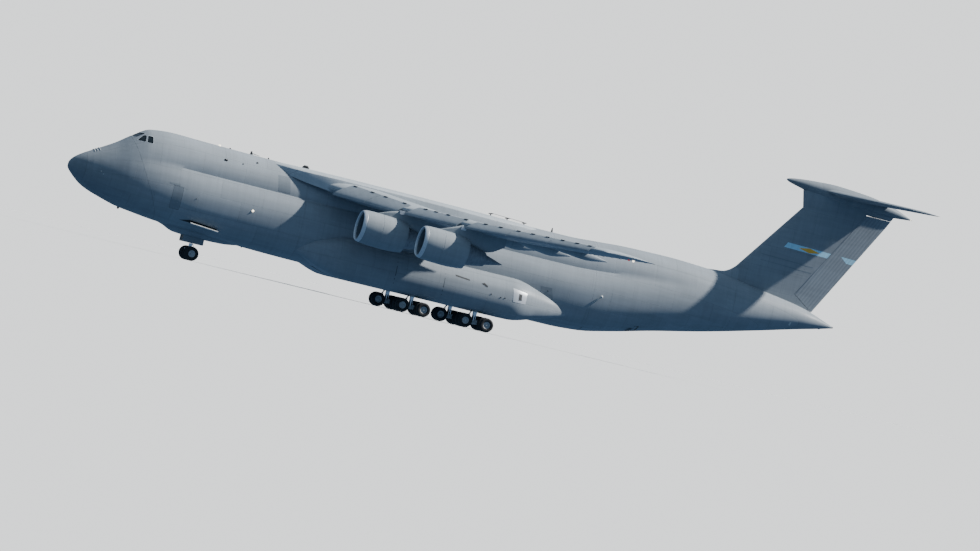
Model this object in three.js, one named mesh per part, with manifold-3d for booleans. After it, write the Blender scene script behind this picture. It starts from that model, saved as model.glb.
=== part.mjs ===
// Four-engined heavy military transport plane at half scale, standing on its landing gear.
// Sizes are written in metres of the real aircraft and turned to millimetres of the model by M.
// A place is (s, y, z): s runs aft from the nose tip, y to port and z up from the ground.
// The model's +X points forward, +Y to port, +Z up, with the origin under the middle of the whole.
import * as THREE from 'three';
import { mergeVertices } from 'three/addons/utils/BufferGeometryUtils.js';
import Module from 'manifold-3d';

const wasm = await Module();
wasm.setup();

// Scale and overall sizes
const M = 500;                 // model millimetres for one real metre
const OVERALL_LENGTH = 75.31;
const HALF_SPAN = 33.95;
const TOUCH = 0.0007;          // gap between pieces that are fixed face to face
const CLEAR = 0.014;           // gap round the edge of a door

// Colours and finishes of the materials
const PAINT = { color: 0x8d969b, roughness: 0.55, metalness: 0.0 };
const RADOME = { color: 0x858e93, roughness: 0.5, metalness: 0.0 };
const GLASS = { color: 0x1a2329, roughness: 0.1, metalness: 0.0 };
const HOT_METAL = { color: 0x6b6259, roughness: 0.45, metalness: 0.8 };
const BLADE = { color: 0x3c4044, roughness: 0.35, metalness: 0.7 };
const RUBBER = { color: 0x26282a, roughness: 0.85, metalness: 0.0 };
const GEAR_PAINT = { color: 0xc9ccca, roughness: 0.5, metalness: 0.0 };
const DECK = { color: 0x70777a, roughness: 0.7, metalness: 0.2 };

const HANDS = [['port', 1], ['starboard', -1]];

// Vectors, solids and lofts

const place = (s, y, z) => new THREE.Vector3((OVERALL_LENGTH / 2 - s) * M, y * M, z * M);
const mix = (a, b, t) => a + (b - a) * t;

// Linear reading of a table whose rows are sorted by one column.
function readTable(table, key, value) {
  const last = table.length - 1;
  let i = 0;
  while (i < last - 1 && table[i + 1][key] < value) i += 1;
  const a = table[i];
  const b = table[i + 1];
  const t = Math.min(1, Math.max(0, (value - a[key]) / (b[key] - a[key])));
  const row = {};
  for (const name of Object.keys(a)) row[name] = mix(a[name], b[name], t);
  row[key] = value;
  return row;
}

const MERGE_DISTANCE = 0.01;
function solidOf(geometry) {
  const bare = geometry.clone();
  bare.deleteAttribute('normal');
  bare.deleteAttribute('uv');
  const merged = mergeVertices(bare, MERGE_DISTANCE);
  const index = merged.index.array;
  const triangles = [];
  for (let i = 0; i < index.length; i += 3) {
    const [a, b, c] = [index[i], index[i + 1], index[i + 2]];
    if (a !== b && b !== c && c !== a) triangles.push(a, b, c);
  }
  return new wasm.Manifold(new wasm.Mesh({
    numProp: 3,
    vertProperties: new Float32Array(merged.attributes.position.array),
    triVerts: new Uint32Array(triangles),
  }));
}

function geometryOf(solid) {
  const mesh = solid.getMesh();
  const geometry = new THREE.BufferGeometry();
  geometry.setAttribute('position', new THREE.BufferAttribute(new Float32Array(mesh.vertProperties), 3));
  geometry.setIndex(new THREE.BufferAttribute(new Uint32Array(mesh.triVerts), 1));
  return geometry;
}

const cut = (solid, ...tools) => tools.reduce((left, tool) => left.subtract(tool), solid);
const join = (...solids) => solids.reduce((sum, solid) => sum.add(solid));

// A closed solid through rings of points, each ring closed on itself, with a fan at each end.
function loft(rings) {
  const n = rings[0].length;
  const points = rings.flat();
  const faces = [];
  for (let r = 0; r + 1 < rings.length; r += 1) {
    for (let i = 0; i < n; i += 1) {
      const a = r * n + i;
      const b = r * n + ((i + 1) % n);
      faces.push(a, b, a + n, b, b + n, a + n);
    }
  }
  for (const end of [0, rings.length - 1]) {
    const centre = rings[end].reduce((sum, p) => sum.add(p), new THREE.Vector3()).divideScalar(n);
    const c = points.push(centre) - 1;
    for (let i = 0; i < n; i += 1) {
      const a = end * n + i;
      const b = end * n + ((i + 1) % n);
      if (end === 0) faces.push(c, b, a);
      else faces.push(c, a, b);
    }
  }
  let volume = 0;
  for (let i = 0; i < faces.length; i += 3) {
    const [a, b, c] = [points[faces[i]], points[faces[i + 1]], points[faces[i + 2]]];
    volume += a.dot(new THREE.Vector3().crossVectors(b, c));
  }
  if (volume < 0) faces.reverse();
  const geometry = new THREE.BufferGeometry().setFromPoints(points);
  geometry.setIndex(faces);
  return solidOf(geometry);
}

// A block between two places, used as a tool or as a plain panel.
function block(s, y, z) {
  const low = place(s[1], y[0], z[0]);
  const high = place(s[0], y[1], z[1]);
  const size = high.clone().sub(low);
  const geometry = new THREE.BoxGeometry(size.x, size.y, size.z);
  geometry.translate(...low.add(high).divideScalar(2));
  return solidOf(geometry);
}

// A flat outline in the side view, given as [s, z] corners, with its thickness across y.
function plate(outline, y) {
  return loft(y.map((side) => outline.map(([s, z]) => place(s, side, z))));
}

// A round bar between two places.
function bar(from, to, radius, sides = 10) {
  const along = to.clone().sub(from);
  const geometry = new THREE.CylinderGeometry(radius * M, radius * M, along.length(), sides);
  geometry.applyQuaternion(new THREE.Quaternion().setFromUnitVectors(new THREE.Vector3(0, 1, 0), along.normalize()));
  geometry.translate(...from.clone().add(to).divideScalar(2));
  return solidOf(geometry);
}

// A turned solid about a line that runs aft and falls by a tilt, from [distance aft, radius] corners.
function turnedAft(profile, at, sides, tilt) {
  const points = profile.map(([aft, radius]) => new THREE.Vector2(radius * M, -aft * M));
  const geometry = new THREE.LatheGeometry(points.reverse(), sides);
  geometry.rotateZ(-Math.PI / 2);
  geometry.rotateY(-tilt);
  geometry.translate(...at);
  return solidOf(geometry);
}

// The scene graph

const aircraft = new THREE.Group();

// A piece in its own mesh, turned about a pivot and an axis where it moves.
function addPiece(name, solid, finish, pivot = new THREE.Vector3(), parent = aircraft) {
  const geometry = geometryOf(solid);
  geometry.translate(-pivot.x, -pivot.y, -pivot.z);
  const mesh = new THREE.Mesh(geometry, new THREE.MeshStandardMaterial(finish));
  mesh.name = name;
  mesh.position.copy(pivot);
  parent.add(mesh);
  return mesh;
}

// Fuselage sections: half width at the waist, lobes is how far the two lobes show, 0 to 1
const SECTIONS = [
  { s: 0.0, top: 5.78, bottom: 5.42, half: 0.18, waist: 5.6, lobes: 0 },
  { s: 0.45, top: 6.4, bottom: 4.93, half: 0.85, waist: 5.6, lobes: 0 },
  { s: 1.8, top: 7.29, bottom: 4.0, half: 1.85, waist: 5.5, lobes: 0 },
  { s: 3.6, top: 8.36, bottom: 3.42, half: 2.62, waist: 5.35, lobes: 0 },
  { s: 4.8, top: 9.25, bottom: 3.11, half: 2.95, waist: 5.3, lobes: 0.05 },
  { s: 5.4, top: 9.68, bottom: 3.01, half: 3.08, waist: 5.25, lobes: 0.15 },
  { s: 6.3, top: 10.16, bottom: 2.9, half: 3.25, waist: 5.2, lobes: 0.35 },
  { s: 8.4, top: 10.35, bottom: 2.66, half: 3.48, waist: 5.2, lobes: 0.7 },
  { s: 11.0, top: 10.27, bottom: 2.48, half: 3.6, waist: 5.2, lobes: 1 },
  { s: 20.5, top: 10.08, bottom: 2.1, half: 3.62, waist: 5.2, lobes: 1 },
  { s: 45.0, top: 9.87, bottom: 1.92, half: 3.6, waist: 5.2, lobes: 1 },
  { s: 47.4, top: 10.0, bottom: 2.05, half: 3.56, waist: 5.3, lobes: 0.95 },
  { s: 50.4, top: 10.17, bottom: 2.62, half: 3.42, waist: 5.65, lobes: 0.75 },
  { s: 54.0, top: 10.21, bottom: 3.49, half: 3.08, waist: 6.2, lobes: 0.4 },
  { s: 58.5, top: 10.0, bottom: 4.47, half: 2.5, waist: 6.8, lobes: 0 },
  { s: 63.5, top: 9.34, bottom: 5.72, half: 1.75, waist: 7.3, lobes: 0 },
  { s: 67.5, top: 8.62, bottom: 6.78, half: 1.0, waist: 7.65, lobes: 0 },
  { s: 69.6, top: 7.96, bottom: 7.3, half: 0.38, waist: 7.64, lobes: 0 },
  { s: 70.45, top: 7.66, bottom: 7.54, half: 0.06, waist: 7.6, lobes: 0 },
];
const CREASE_WIDTH = 0.75;     // half width at the crease between the lobes, against the waist
const CREASE_HEIGHT = 0.47;    // height of the crease between the waist and the crown
const LOWER_LOBE = 0.71;       // rise of the lower lobe's full arc, against waist to crown
const QUADRANT_STEPS = 5;

// One fuselage section, grown outwards by some metres; a negative growth gives an inner wall.
function fuselageRing(row, growth) {
  const half = row.half + growth;
  const rise = row.top + growth - row.waist;
  const drop = row.waist - row.bottom + growth;
  const flat = 2 / (2 + 0.8 * row.lobes);
  const side = [];
  for (let i = 0; i <= QUADRANT_STEPS; i += 1) {
    const angle = (Math.PI / 2) * (1 - i / QUADRANT_STEPS);
    side.push([half * Math.cos(angle) ** flat, row.waist - drop * Math.sin(angle) ** flat]);
  }
  side[0][0] = 0;
  const creaseAngle = Math.asin(CREASE_HEIGHT);
  const lobeAngle = Math.asin(CREASE_HEIGHT / LOWER_LOBE);
  for (let i = 1; i <= 2; i += 1) {
    const plain = (creaseAngle * i) / 2;
    const lobe = (lobeAngle * i) / 2;
    const lobeHalf = mix(1, CREASE_WIDTH, (1 - Math.cos(lobe)) / (1 - Math.cos(lobeAngle)));
    side.push([
      half * mix(Math.cos(plain), lobeHalf, row.lobes),
      row.waist + rise * mix(Math.sin(plain), LOWER_LOBE * Math.sin(lobe), row.lobes),
    ]);
  }
  for (let i = 1; i <= QUADRANT_STEPS; i += 1) {
    const plain = mix(creaseAngle, Math.PI / 2, i / QUADRANT_STEPS);
    const lobe = (Math.PI / 2) * (i / QUADRANT_STEPS);
    side.push([
      half * mix(Math.cos(plain), CREASE_WIDTH * Math.cos(lobe), row.lobes),
      row.waist + rise * mix(Math.sin(plain), mix(CREASE_HEIGHT, 1, Math.sin(lobe)), row.lobes),
    ]);
  }
  side[side.length - 1][0] = 0;
  const port = side.map(([y, z]) => place(row.s, y, z));
  const starboard = side.slice(1, -1).reverse().map(([y, z]) => place(row.s, -y, z));
  return [...port, ...starboard];
}

// The fuselage's outer form between two stations, cut from one loft so that all its parts agree.
const wholeFuselages = new Map();
function fuselage(from, to, growth = 0) {
  if (!wholeFuselages.has(growth)) {
    wholeFuselages.set(growth, loft(SECTIONS.map((row) => fuselageRing(row, growth))));
  }
  return wholeFuselages.get(growth).intersect(block([from, to], [-5, 5], [1, 12]));
}

// Cargo hold: a tunnel with cut corners, its floor and ceiling rising behind the hold
const FLOOR_TOP = 3.15;
const FLOOR_THICKNESS = 0.15;
const CEILING = 7.2;
const FLOOR_FRONT = 8.66;
const FLOOR_BACK = 47.3;
const HOLD_SECTIONS = [
  { s: 3.0, floor: 3.0, ceiling: CEILING, half: 2.5, edge: 2.2, foot: 1.9 },
  { s: 8.7, floor: 3.0, ceiling: CEILING, half: 2.6, edge: 2.3, foot: 1.9 },
  { s: 13.0, floor: 3.0, ceiling: CEILING, half: 2.85, edge: 2.5, foot: 2.5 },
  { s: 47.4, floor: 3.0, ceiling: CEILING, half: 2.85, edge: 2.5, foot: 2.5 },
  { s: 52.5, floor: 3.7, ceiling: CEILING, half: 2.6, edge: 2.1, foot: 2.1 },
  { s: 56.5, floor: 4.55, ceiling: 7.4, half: 2.0, edge: 1.6, foot: 1.6 },
  { s: 60.2, floor: 5.3, ceiling: 7.7, half: 1.5, edge: 1.15, foot: 1.15 },
];

function holdRing(row) {
  const chamfer = Math.min(0.8, 0.2 * (row.ceiling - row.floor));
  const side = [
    [row.foot, row.floor],
    [row.half, row.floor + 0.6 * chamfer],
    [row.half, row.ceiling - chamfer],
    [row.edge, row.ceiling],
  ];
  const port = side.map(([y, z]) => place(row.s, y, z));
  const starboard = side.slice().reverse().map(([y, z]) => place(row.s, -y, z));
  return [...port, ...starboard];
}

const hold = loft(HOLD_SECTIONS.map(holdRing));

// Where the fuselage comes apart
const VISOR_HINGE = { s: 4.72, z: 9.23 };
const VISOR_FOOT = { s: 8.3, z: 2.4 };
const CENTRE_FRONT = 20.5;
const AFT_FRONT = 47.4;
const TAIL_FRONT = 60.5;

// The half space in front of the visor's split, moved aft by some metres.
function aheadOfSplit(shift) {
  const up = 2 * (VISOR_HINGE.z - VISOR_FOOT.z);
  const back = 2 * (VISOR_HINGE.s - VISOR_FOOT.s);
  const top = [VISOR_HINGE.s + back + shift, VISOR_HINGE.z + up];
  const foot = [VISOR_FOOT.s - back + shift, VISOR_FOOT.z - up];
  return plate([top, foot, [-30, foot[1]], [-30, top[1]]], [-6, 6]);
}

// Nose: visor shell and radome
const VISOR_WALL = 0.3;
const RADOME_BACK = 1.3;

const visorOuter = fuselage(RADOME_BACK + TOUCH, 8.4).intersect(aheadOfSplit(-CLEAR));
const visorInner = fuselage(1.9, 8.4, -VISOR_WALL);
const visorPivot = place(VISOR_HINGE.s, 0, VISOR_HINGE.z);
addPiece('visor', cut(visorOuter, visorInner), PAINT, visorPivot);
addPiece('radome', fuselage(0, RADOME_BACK), RADOME, visorPivot);

// Forward fuselage with the hold's mouth, the flight deck, its windows and the crew door
const DECK_FLOOR = 7.65;
const CABIN_WALL = 0.22;
const CABIN_BACK = 10.0;
const WINDSCREEN = { s: [4.4, 6.6], y: [0.06, 0.96], z: [9.26, 9.72] };
const SIDE_PANES = [
  [[5.15, 9.03], [5.8, 9.03], [5.88, 9.58], [5.7, 9.58]],
  [[5.92, 9.03], [6.42, 9.03], [6.42, 9.6], [5.99, 9.6]],
];
const SIDE_PANE_Y = [1.04, 3.0];
const CREW_DOOR = { s: [8.75, 9.65], z: [4.0, 6.0], y: [2.3, 4.2], inside: 2.86, hinge: 3.38 };

const cabin = fuselage(4.9, CABIN_BACK, -CABIN_WALL)
  .intersect(block([4, CABIN_BACK], [-3, 3], [DECK_FLOOR, 11]))
  .subtract(aheadOfSplit(0.3));
const paneTools = [];
for (const side of [1, -1]) {
  const across = (span) => span.map((y) => side * y).sort((a, b) => a - b);
  paneTools.push(block(WINDSCREEN.s, across(WINDSCREEN.y), WINDSCREEN.z));
  for (const outline of SIDE_PANES) paneTools.push(plate(outline, across(SIDE_PANE_Y)));
}
const LADDER_HATCH = { s: [8.9, CABIN_BACK], y: [1.0, 2.0], z: [CEILING - 0.2, DECK_FLOOR + 0.2] };
const forwardWhole = cut(
  fuselage(VISOR_HINGE.s - 0.2, CENTRE_FRONT - TOUCH),
  aheadOfSplit(0),
  hold,
  cabin,
  block(LADDER_HATCH.s, LADDER_HATCH.y, LADDER_HATCH.z),
  ...paneTools,
);
const crewDoorTool = block(CREW_DOOR.s, CREW_DOOR.y, CREW_DOOR.z);
// The leaf's top slopes down inwards, so that its inner edge swings clear of the frame.
const crewDoorLeaf = loft([CREW_DOOR.s[0] + CLEAR, CREW_DOOR.s[1] - CLEAR].map((s) => [
  place(s, CREW_DOOR.inside, CREW_DOOR.z[0] + CLEAR),
  place(s, CREW_DOOR.y[1], CREW_DOOR.z[0] + CLEAR),
  place(s, CREW_DOOR.y[1], CREW_DOOR.z[1] + 0.08),
  place(s, CREW_DOOR.inside, CREW_DOOR.z[1] - 0.09),
]));
const crewDoorPivot = place(CREW_DOOR.s[0], CREW_DOOR.hinge, CREW_DOOR.z[0]);
addPiece('crew_door', forwardWhole.intersect(crewDoorLeaf), PAINT, crewDoorPivot);

// Nose gear bay under the hold's floor, and the fairing round it
const NOSE_GEAR_S = 12.2;
const BAY = { s: [11.2, 13.2], y: [-0.55, 0.55], z: [1.5, 2.86] };
const FAIRING = [
  { s: 9.3, half: 0.5, drop: 2.56 },
  { s: 10.4, half: 1.15, drop: 2.06 },
  { s: 14.6, half: 1.2, drop: 1.98 },
  { s: 16.6, half: 0.5, drop: 2.28 },
];
const bayTool = block(BAY.s, BAY.y, BAY.z);
addPiece('fuselage_forward', cut(forwardWhole, crewDoorTool, bayTool), PAINT);

const noseFairing = loft(FAIRING.map((row) => [
  place(row.s, row.half, row.drop + 0.12),
  place(row.s, row.half * 0.75, row.drop),
  place(row.s, -row.half * 0.75, row.drop),
  place(row.s, -row.half, row.drop + 0.12),
  place(row.s, -row.half, 2.95),
  place(row.s, row.half, 2.95),
]));
addPiece('nose_gear_fairing', cut(noseFairing, fuselage(8.5, 18, TOUCH), bayTool), PAINT);

// Glazing: one band of glass close behind the window openings
const glazing = fuselage(4.75, 7.5, -CABIN_WALL - 0.012)
  .subtract(fuselage(4.9, 7.6, -CABIN_WALL - 0.05))
  .intersect(block([4.6, 6.9], [-3, 3], [8.96, 9.8]))
  .subtract(aheadOfSplit(0.31));
addPiece('flight_deck_glazing', glazing, GLASS);

// Cargo floor
const FLOOR_PLAN = [[FLOOR_FRONT, 1.86], [13.0, 2.48], [FLOOR_BACK, 2.48]];
const floor = loft(FLOOR_PLAN.map(([s, half]) => {
  const low = FLOOR_TOP - FLOOR_THICKNESS + TOUCH;
  return [[-half, low], [half, low], [half, FLOOR_TOP], [-half, FLOOR_TOP]].map(([y, z]) => place(s, y, z));
}));
addPiece('cargo_floor', floor, DECK);

// Forward ramp, standing across the hold's mouth behind the visor
const RAMP = { s: 8.68, thickness: 0.25, half: 1.85, foot: 3.17, hinge: 3.18, top: 6.9 };
const forwardRampPivot = place(RAMP.s, 0, RAMP.hinge);
addPiece(
  'forward_ramp',
  block([RAMP.s, RAMP.s + RAMP.thickness], [-RAMP.half, RAMP.half], [RAMP.foot, RAMP.top]),
  DECK,
  forwardRampPivot,
);

// Wing: chord, leading edge and height by distance from the centreline
const WING = [
  { y: TOUCH, lead: 20.46, chord: 13.85, height: 9.2, thickness: 0.125, twist: 3.5 },
  { y: 12.0, lead: 26.84, chord: 9.05, height: 8.55, thickness: 0.12, twist: 2.5 },
  { y: 20.0, lead: 31.09, chord: 7.465, height: 8.5, thickness: 0.116, twist: 1.5 },
  { y: 33.2, lead: 38.11, chord: 4.85, height: 8.85, thickness: 0.11, twist: 0 },
  { y: HALF_SPAN, lead: 38.8, chord: 4.2, height: 8.88, thickness: 0.09, twist: 0 },
];
const CAMBER = 0.012;
const FOIL_STEPS = [0, 0.015, 0.07, 0.2, 0.4, 0.6, 0.8, 1];

// Half thickness of a thick-nosed wing section at a share of the chord, for a chord of 1.
function foilHalf(share, thickness) {
  const form = 0.2969 * Math.sqrt(share) - 0.126 * share - 0.3516 * share ** 2 + 0.2843 * share ** 3 - 0.1015 * share ** 4;
  return 5 * thickness * form + 0.0015 * share;
}

// A wing section as [distance aft of the leading edge, height] points.
function foilPoints(chord, thickness, twist, growth, camber) {
  const angle = THREE.MathUtils.degToRad(twist);
  const turn = (x, z) => [x * Math.cos(angle) + z * Math.sin(angle), z * Math.cos(angle) - x * Math.sin(angle)];
  const line = (share) => camber * 4 * share * (1 - share) * chord;
  const at = (share, way) => {
    const x = share * chord + (share === 0 ? -growth : 0) + (share === 1 ? growth : 0);
    return turn(x, line(share) + way * (foilHalf(share, thickness) * chord + growth));
  };
  const upper = FOIL_STEPS.slice(1).reverse().map((share) => at(share, 1));
  const lower = FOIL_STEPS.slice(1).map((share) => at(share, -1));
  return [...upper, turn(-growth, 0), ...lower];
}

function wingRing(row, side, growth) {
  return foilPoints(row.chord, row.thickness, row.twist, growth, CAMBER)
    .map(([aft, up]) => place(row.lead + aft, side * row.y, row.height + up));
}

function wing(side, growth = 0) {
  return loft(WING.map((row) => wingRing(row, side, growth)));
}

// A place on the wing's middle surface at a share of the chord.
function onWing(y, share) {
  const row = readTable(WING, 'y', y);
  const angle = THREE.MathUtils.degToRad(row.twist);
  const camber = CAMBER * 4 * share * (1 - share) * row.chord;
  return [row.lead + share * row.chord * Math.cos(angle), row.height + camber - share * row.chord * Math.sin(angle)];
}

// Tools that take a hinged surface off the back of a wing, fin or tailplane.
// The hinge runs from one [s, y, z] to another; the surface's nose is a wedge that turns clear.
// slope is the fall of the inner end per metre aft; the last two are the gaps at the surface's ends.
const HINGE_GAP = 0.03;
const WEDGE = Math.tan(THREE.MathUtils.degToRad(36));
function surfaceTools(inner, outer, up, reach, slope = 0, innerGap = HINGE_GAP, outerGap = HINGE_GAP) {
  const ring = (at, corners, fall = 0) => corners.map(([aft, high]) => place(
    at[0] + aft,
    at[1] + up[0] * high,
    at[2] + up[1] * high - fall * aft,
  ));
  const high = 1.2;
  const wedge = [[0, 0], [WEDGE * high, high], [reach, high], [reach, -high], [WEDGE * high, -high]];
  const slot = [[-HINGE_GAP, high], [reach, high], [reach, -high], [-HINGE_GAP, -high]];
  const along = new THREE.Vector3(...outer).sub(new THREE.Vector3(...inner)).normalize();
  const shifted = (at, by) => [at[0] + along.x * by, at[1] + along.y * by, at[2] + along.z * by];
  return {
    leaf: loft([ring(shifted(inner, innerGap), wedge, slope), ring(shifted(outer, -outerGap), wedge)]),
    slot: loft([ring(inner, slot, slope), ring(outer, slot)]),
  };
}

// Slats, drooped ahead of the leading edge, as [aft, up] shares of the chord; each spans from one y to another
const SLAT_FORM = [[0.085, 0.064], [-0.02, 0.034], [-0.052, 0.0], [-0.055, -0.035], [-0.035, -0.05], [0.02, -0.02]];
const SLATS = [[4.6, 11.7], [12.7, 18.4], [19.4, 32.6]];

function slat(side, from, to) {
  const stations = [from, ...WING.map((row) => row.y).filter((y) => y > from && y < to), to];
  return loft(stations.map((y) => {
    const row = readTable(WING, 'y', y);
    const angle = THREE.MathUtils.degToRad(row.twist);
    return SLAT_FORM.map(([aft, up]) => place(
      row.lead + row.chord * (aft * Math.cos(angle) + up * Math.sin(angle)),
      side * y,
      row.height + row.chord * (up * Math.cos(angle) - aft * Math.sin(angle)),
    ));
  }));
}

// Pointed fairings round the flap tracks: share of the chord where each starts, and reach past the trailing edge
const TRACK_FAIRINGS = [
  { y: 5.6, start: 0.5, reach: 1.3, drop: 1.0, half: 0.3 },
  { y: 9.6, start: 0.48, reach: 1.2, drop: 0.9, half: 0.28 },
  { y: 15.6, start: 0.46, reach: 1.1, drop: 0.8, half: 0.25 },
  { y: 20.4, start: 0.45, reach: 1.0, drop: 0.75, half: 0.23 },
];
const END_FAIRING = { y: 24.15, start: 0.5, reach: 1.9, drop: 0.6, half: 0.19 };

function trackFairing(side, fairing) {
  const row = readTable(WING, 'y', fairing.y);
  const [startS, startZ] = onWing(fairing.y, fairing.start);
  const [endS, endZ] = onWing(fairing.y, 1);
  const under = foilHalf(fairing.start, row.thickness) * row.chord;
  const tipS = endS + fairing.reach;
  const ring = (s, half, low, high) => [[0.3, low], [1, mix(low, high, 0.5)], [0.6, high], [-0.6, high], [-1, mix(low, high, 0.5)], [-0.3, low]]
    .map(([across, z]) => place(s, side * fairing.y + across * half, z));
  return loft([
    ring(startS, 0.08, startZ - under - 0.05, startZ - 0.3 * under),
    ring(mix(startS, endS, 0.4), fairing.half, mix(startZ, endZ, 0.4) - under - 0.6 * fairing.drop, mix(startZ, endZ, 0.4)),
    ring(mix(startS, endS, 0.85), fairing.half, endZ - fairing.drop, endZ + 0.1),
    ring(tipS, 0.04, endZ - 0.45 * fairing.drop - 0.06, endZ - 0.45 * fairing.drop + 0.06),
  ]);
}

const FLAP = { inner: 3.9, outer: 23.9, share: 0.76 };
const AILERON = { inner: 24.4, outer: 32.2, share: 0.76, endGap: 0.07 };  // its swept hinge carries its ends sideways as it turns

for (const [hand, side] of HANDS) {
  const whole = wing(side);
  const tools = (surface) => {
    const [s1, z1] = onWing(surface.inner, surface.share);
    const [s2, z2] = onWing(surface.outer, surface.share);
    const inner = [s1, side * surface.inner, z1];
    const outer = [s2, side * surface.outer, z2];
    return { ...surfaceTools(inner, outer, [0, 1], 5, 0, surface.endGap, surface.endGap), inner, outer };
  };
  const aileron = tools(AILERON);
  const flapInner = tools({ ...FLAP, outer: 12.0 });
  const flapOuter = tools({ ...FLAP, inner: 12.0 });
  const body = fuselage(15, 45, TOUCH);
  const slats = SLATS.map(([from, to]) => slat(side, from, to));
  const fixed = join(cut(whole, body, aileron.slot, flapInner.slot, flapOuter.slot), ...slats);
  addPiece(`aileron_${hand}`, whole.intersect(aileron.leaf), PAINT, place(...aileron.inner));
  const flapSpace = join(
    loft([flapInner.inner, flapInner.outer].map((at) => flapCorners(at))),
    loft([flapOuter.inner, flapOuter.outer].map((at) => flapCorners(at))),
  );
  const grown = wing(side, TOUCH);
  const fairings = TRACK_FAIRINGS.map((fairing) => cut(trackFairing(side, fairing), cut(grown, flapSpace)));
  const flaps = join(cut(whole.intersect(flapSpace), body), ...fairings);
  const endFairing = trackFairing(side, END_FAIRING);
  addPiece(`wing_${hand}`, join(fixed, endFairing), PAINT);
  addPiece(`flaps_${hand}`, flaps, PAINT);
}

// The block that holds the flaps, just behind the wing's rear face.
function flapCorners(at) {
  const back = TOUCH - HINGE_GAP;
  return [[back, 1.2], [5, 1.2], [5, -1.2], [back, -1.2]].map(([aft, high]) => place(at[0] + aft, at[1], at[2] + high));
}

// Fairing over the wing's centre, as a saddle on the fuselage's crown
const CENTRE_FAIRING = [
  { s: 18.2, half: 1.7, foot: 9.3, shoulder: 9.62, crown: 10.1 },
  { s: 20.4, half: 2.7, foot: 8.9, shoulder: 9.6, crown: 10.13 },
  { s: 23.5, half: 3.25, foot: 8.6, shoulder: 9.62, crown: 10.14 },
  { s: 33.5, half: 3.2, foot: 8.5, shoulder: 9.5, crown: 10.06 },
  { s: 38.0, half: 2.5, foot: 8.9, shoulder: 9.4, crown: 9.99 },
  { s: 40.5, half: 1.6, foot: 9.2, shoulder: 9.5, crown: 9.93 },
];
{
  const saddle = loft(CENTRE_FAIRING.map((row) => [
    [1, row.foot], [0.9, row.shoulder], [0.5, mix(row.shoulder, row.crown, 0.75)], [0, row.crown],
    [-0.5, mix(row.shoulder, row.crown, 0.75)], [-0.9, row.shoulder], [-1, row.foot],
  ].map(([across, z]) => place(row.s, across * row.half, z))));
  addPiece('wing_centre_fairing', cut(saddle, fuselage(15, 45, TOUCH), wing(1, TOUCH), wing(-1, TOUCH)), PAINT);
}

// Centre and aft fuselage, tail cone, aft ramp and side doors
const AFT_RAMP = { front: AFT_FRONT + 0.04, back: 52.6, half: 2.3, hinge: 2.0 };
const AFT_RAMP_BACK = [[53.2, 0], [51.69, 4.6]];   // the ramp's rear face, leaning forward so that it swings clear
const SIDE_DOOR = {
  front: { s: 52.45, half: 2.284, hinge: 3.69 },
  back: { s: 60.2, half: 1.45, hinge: 5.371 },
};

const centreBody = cut(fuselage(CENTRE_FRONT, AFT_FRONT - TOUCH), hold);
const aftWhole = cut(fuselage(AFT_FRONT, TAIL_FRONT - TOUCH), hold);
const tailBody = fuselage(TAIL_FRONT, SECTIONS[SECTIONS.length - 1].s);
const rampSlot = block([AFT_FRONT - 0.1, AFT_RAMP.back], [-AFT_RAMP.half, AFT_RAMP.half], [0, 4.6]);
const rampLeaf = plate(
  [[AFT_RAMP.front, 0], ...AFT_RAMP_BACK, [AFT_RAMP.front, 4.6]],
  [CLEAR - AFT_RAMP.half, AFT_RAMP.half - CLEAR],
);
// The doors' space below the hold; its ends stand square to the hinge at its outer edge.
function sideDoorSpace(hand, gap) {
  const { front, back } = SIDE_DOOR;
  const slopeY = (back.half - front.half) / (back.s - front.s);
  const slopeZ = (back.hinge - front.hinge) / (back.s - front.s);
  const inside = gap > 0 ? gap : -1;
  const ring = (end, shift) => [[inside, 0], [end.half - gap, 0], [end.half - gap, 6.3], [inside, 6.3]]
    .map(([y, z]) => place(
      end.s + shift - slopeY * (y - end.half) - slopeZ * (z - end.hinge),
      hand * y,
      z,
    ));
  return loft([ring(front, gap), ring(back, -gap)]);
}
addPiece('aft_ramp', aftWhole.intersect(rampLeaf), PAINT, place(AFT_RAMP.front, 0, AFT_RAMP.hinge));
for (const [hand, side] of HANDS) {
  const pivot = place(SIDE_DOOR.front.s, side * SIDE_DOOR.front.half, SIDE_DOOR.front.hinge);
  addPiece(`aft_door_${hand}`, aftWhole.intersect(sideDoorSpace(side, CLEAR)), PAINT, pivot);
}
const aftBody = cut(aftWhole, rampSlot, sideDoorSpace(1, 0), sideDoorSpace(-1, 0));

// Fin, rudder, tailplane and elevators
const FIN = [
  { z: 8.2, lead: 58.5, chord: 9.55, thickness: 0.11 },
  { z: 17.3, lead: 65.2, chord: 7.9, thickness: 0.12 },
  { z: 18.8, lead: 64.85, chord: 9.0, thickness: 0.105 },
];
const RUDDER = { low: [66.3, 9.64], high: [71.15, 18.0], topGap: 0.1, fall: 0.65 };
const DORSAL = [[57.6, 9.9], [59.5, 10.2], [60.2, 10.55], [61.0, 11.3], [62.5, 11.5], [62.5, 9.2]];
const BULLET = [
  { s: 63.15, height: 19.36, radius: 0.06 },
  { s: 64.2, height: 19.3, radius: 0.33 },
  { s: 65.8, height: 19.2, radius: 0.57 },
  { s: 68.0, height: 19.1, radius: 0.74 },
  { s: 71.0, height: 18.95, radius: 0.68 },
  { s: 73.5, height: 18.7, radius: 0.42 },
  { s: OVERALL_LENGTH, height: 18.46, radius: 0.06 },
];
const BULLET_SIDES = 10;
const TAILPLANE = [
  { y: 0, lead: 66.5, chord: 6.2, height: 19.15, thickness: 0.1 },
  { y: 10.47, lead: 71.7, chord: 2.6, height: 19.1, thickness: 0.09 },
];
const ELEVATOR = { inner: 1.0, outer: 10.1, share: 0.72 };

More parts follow.
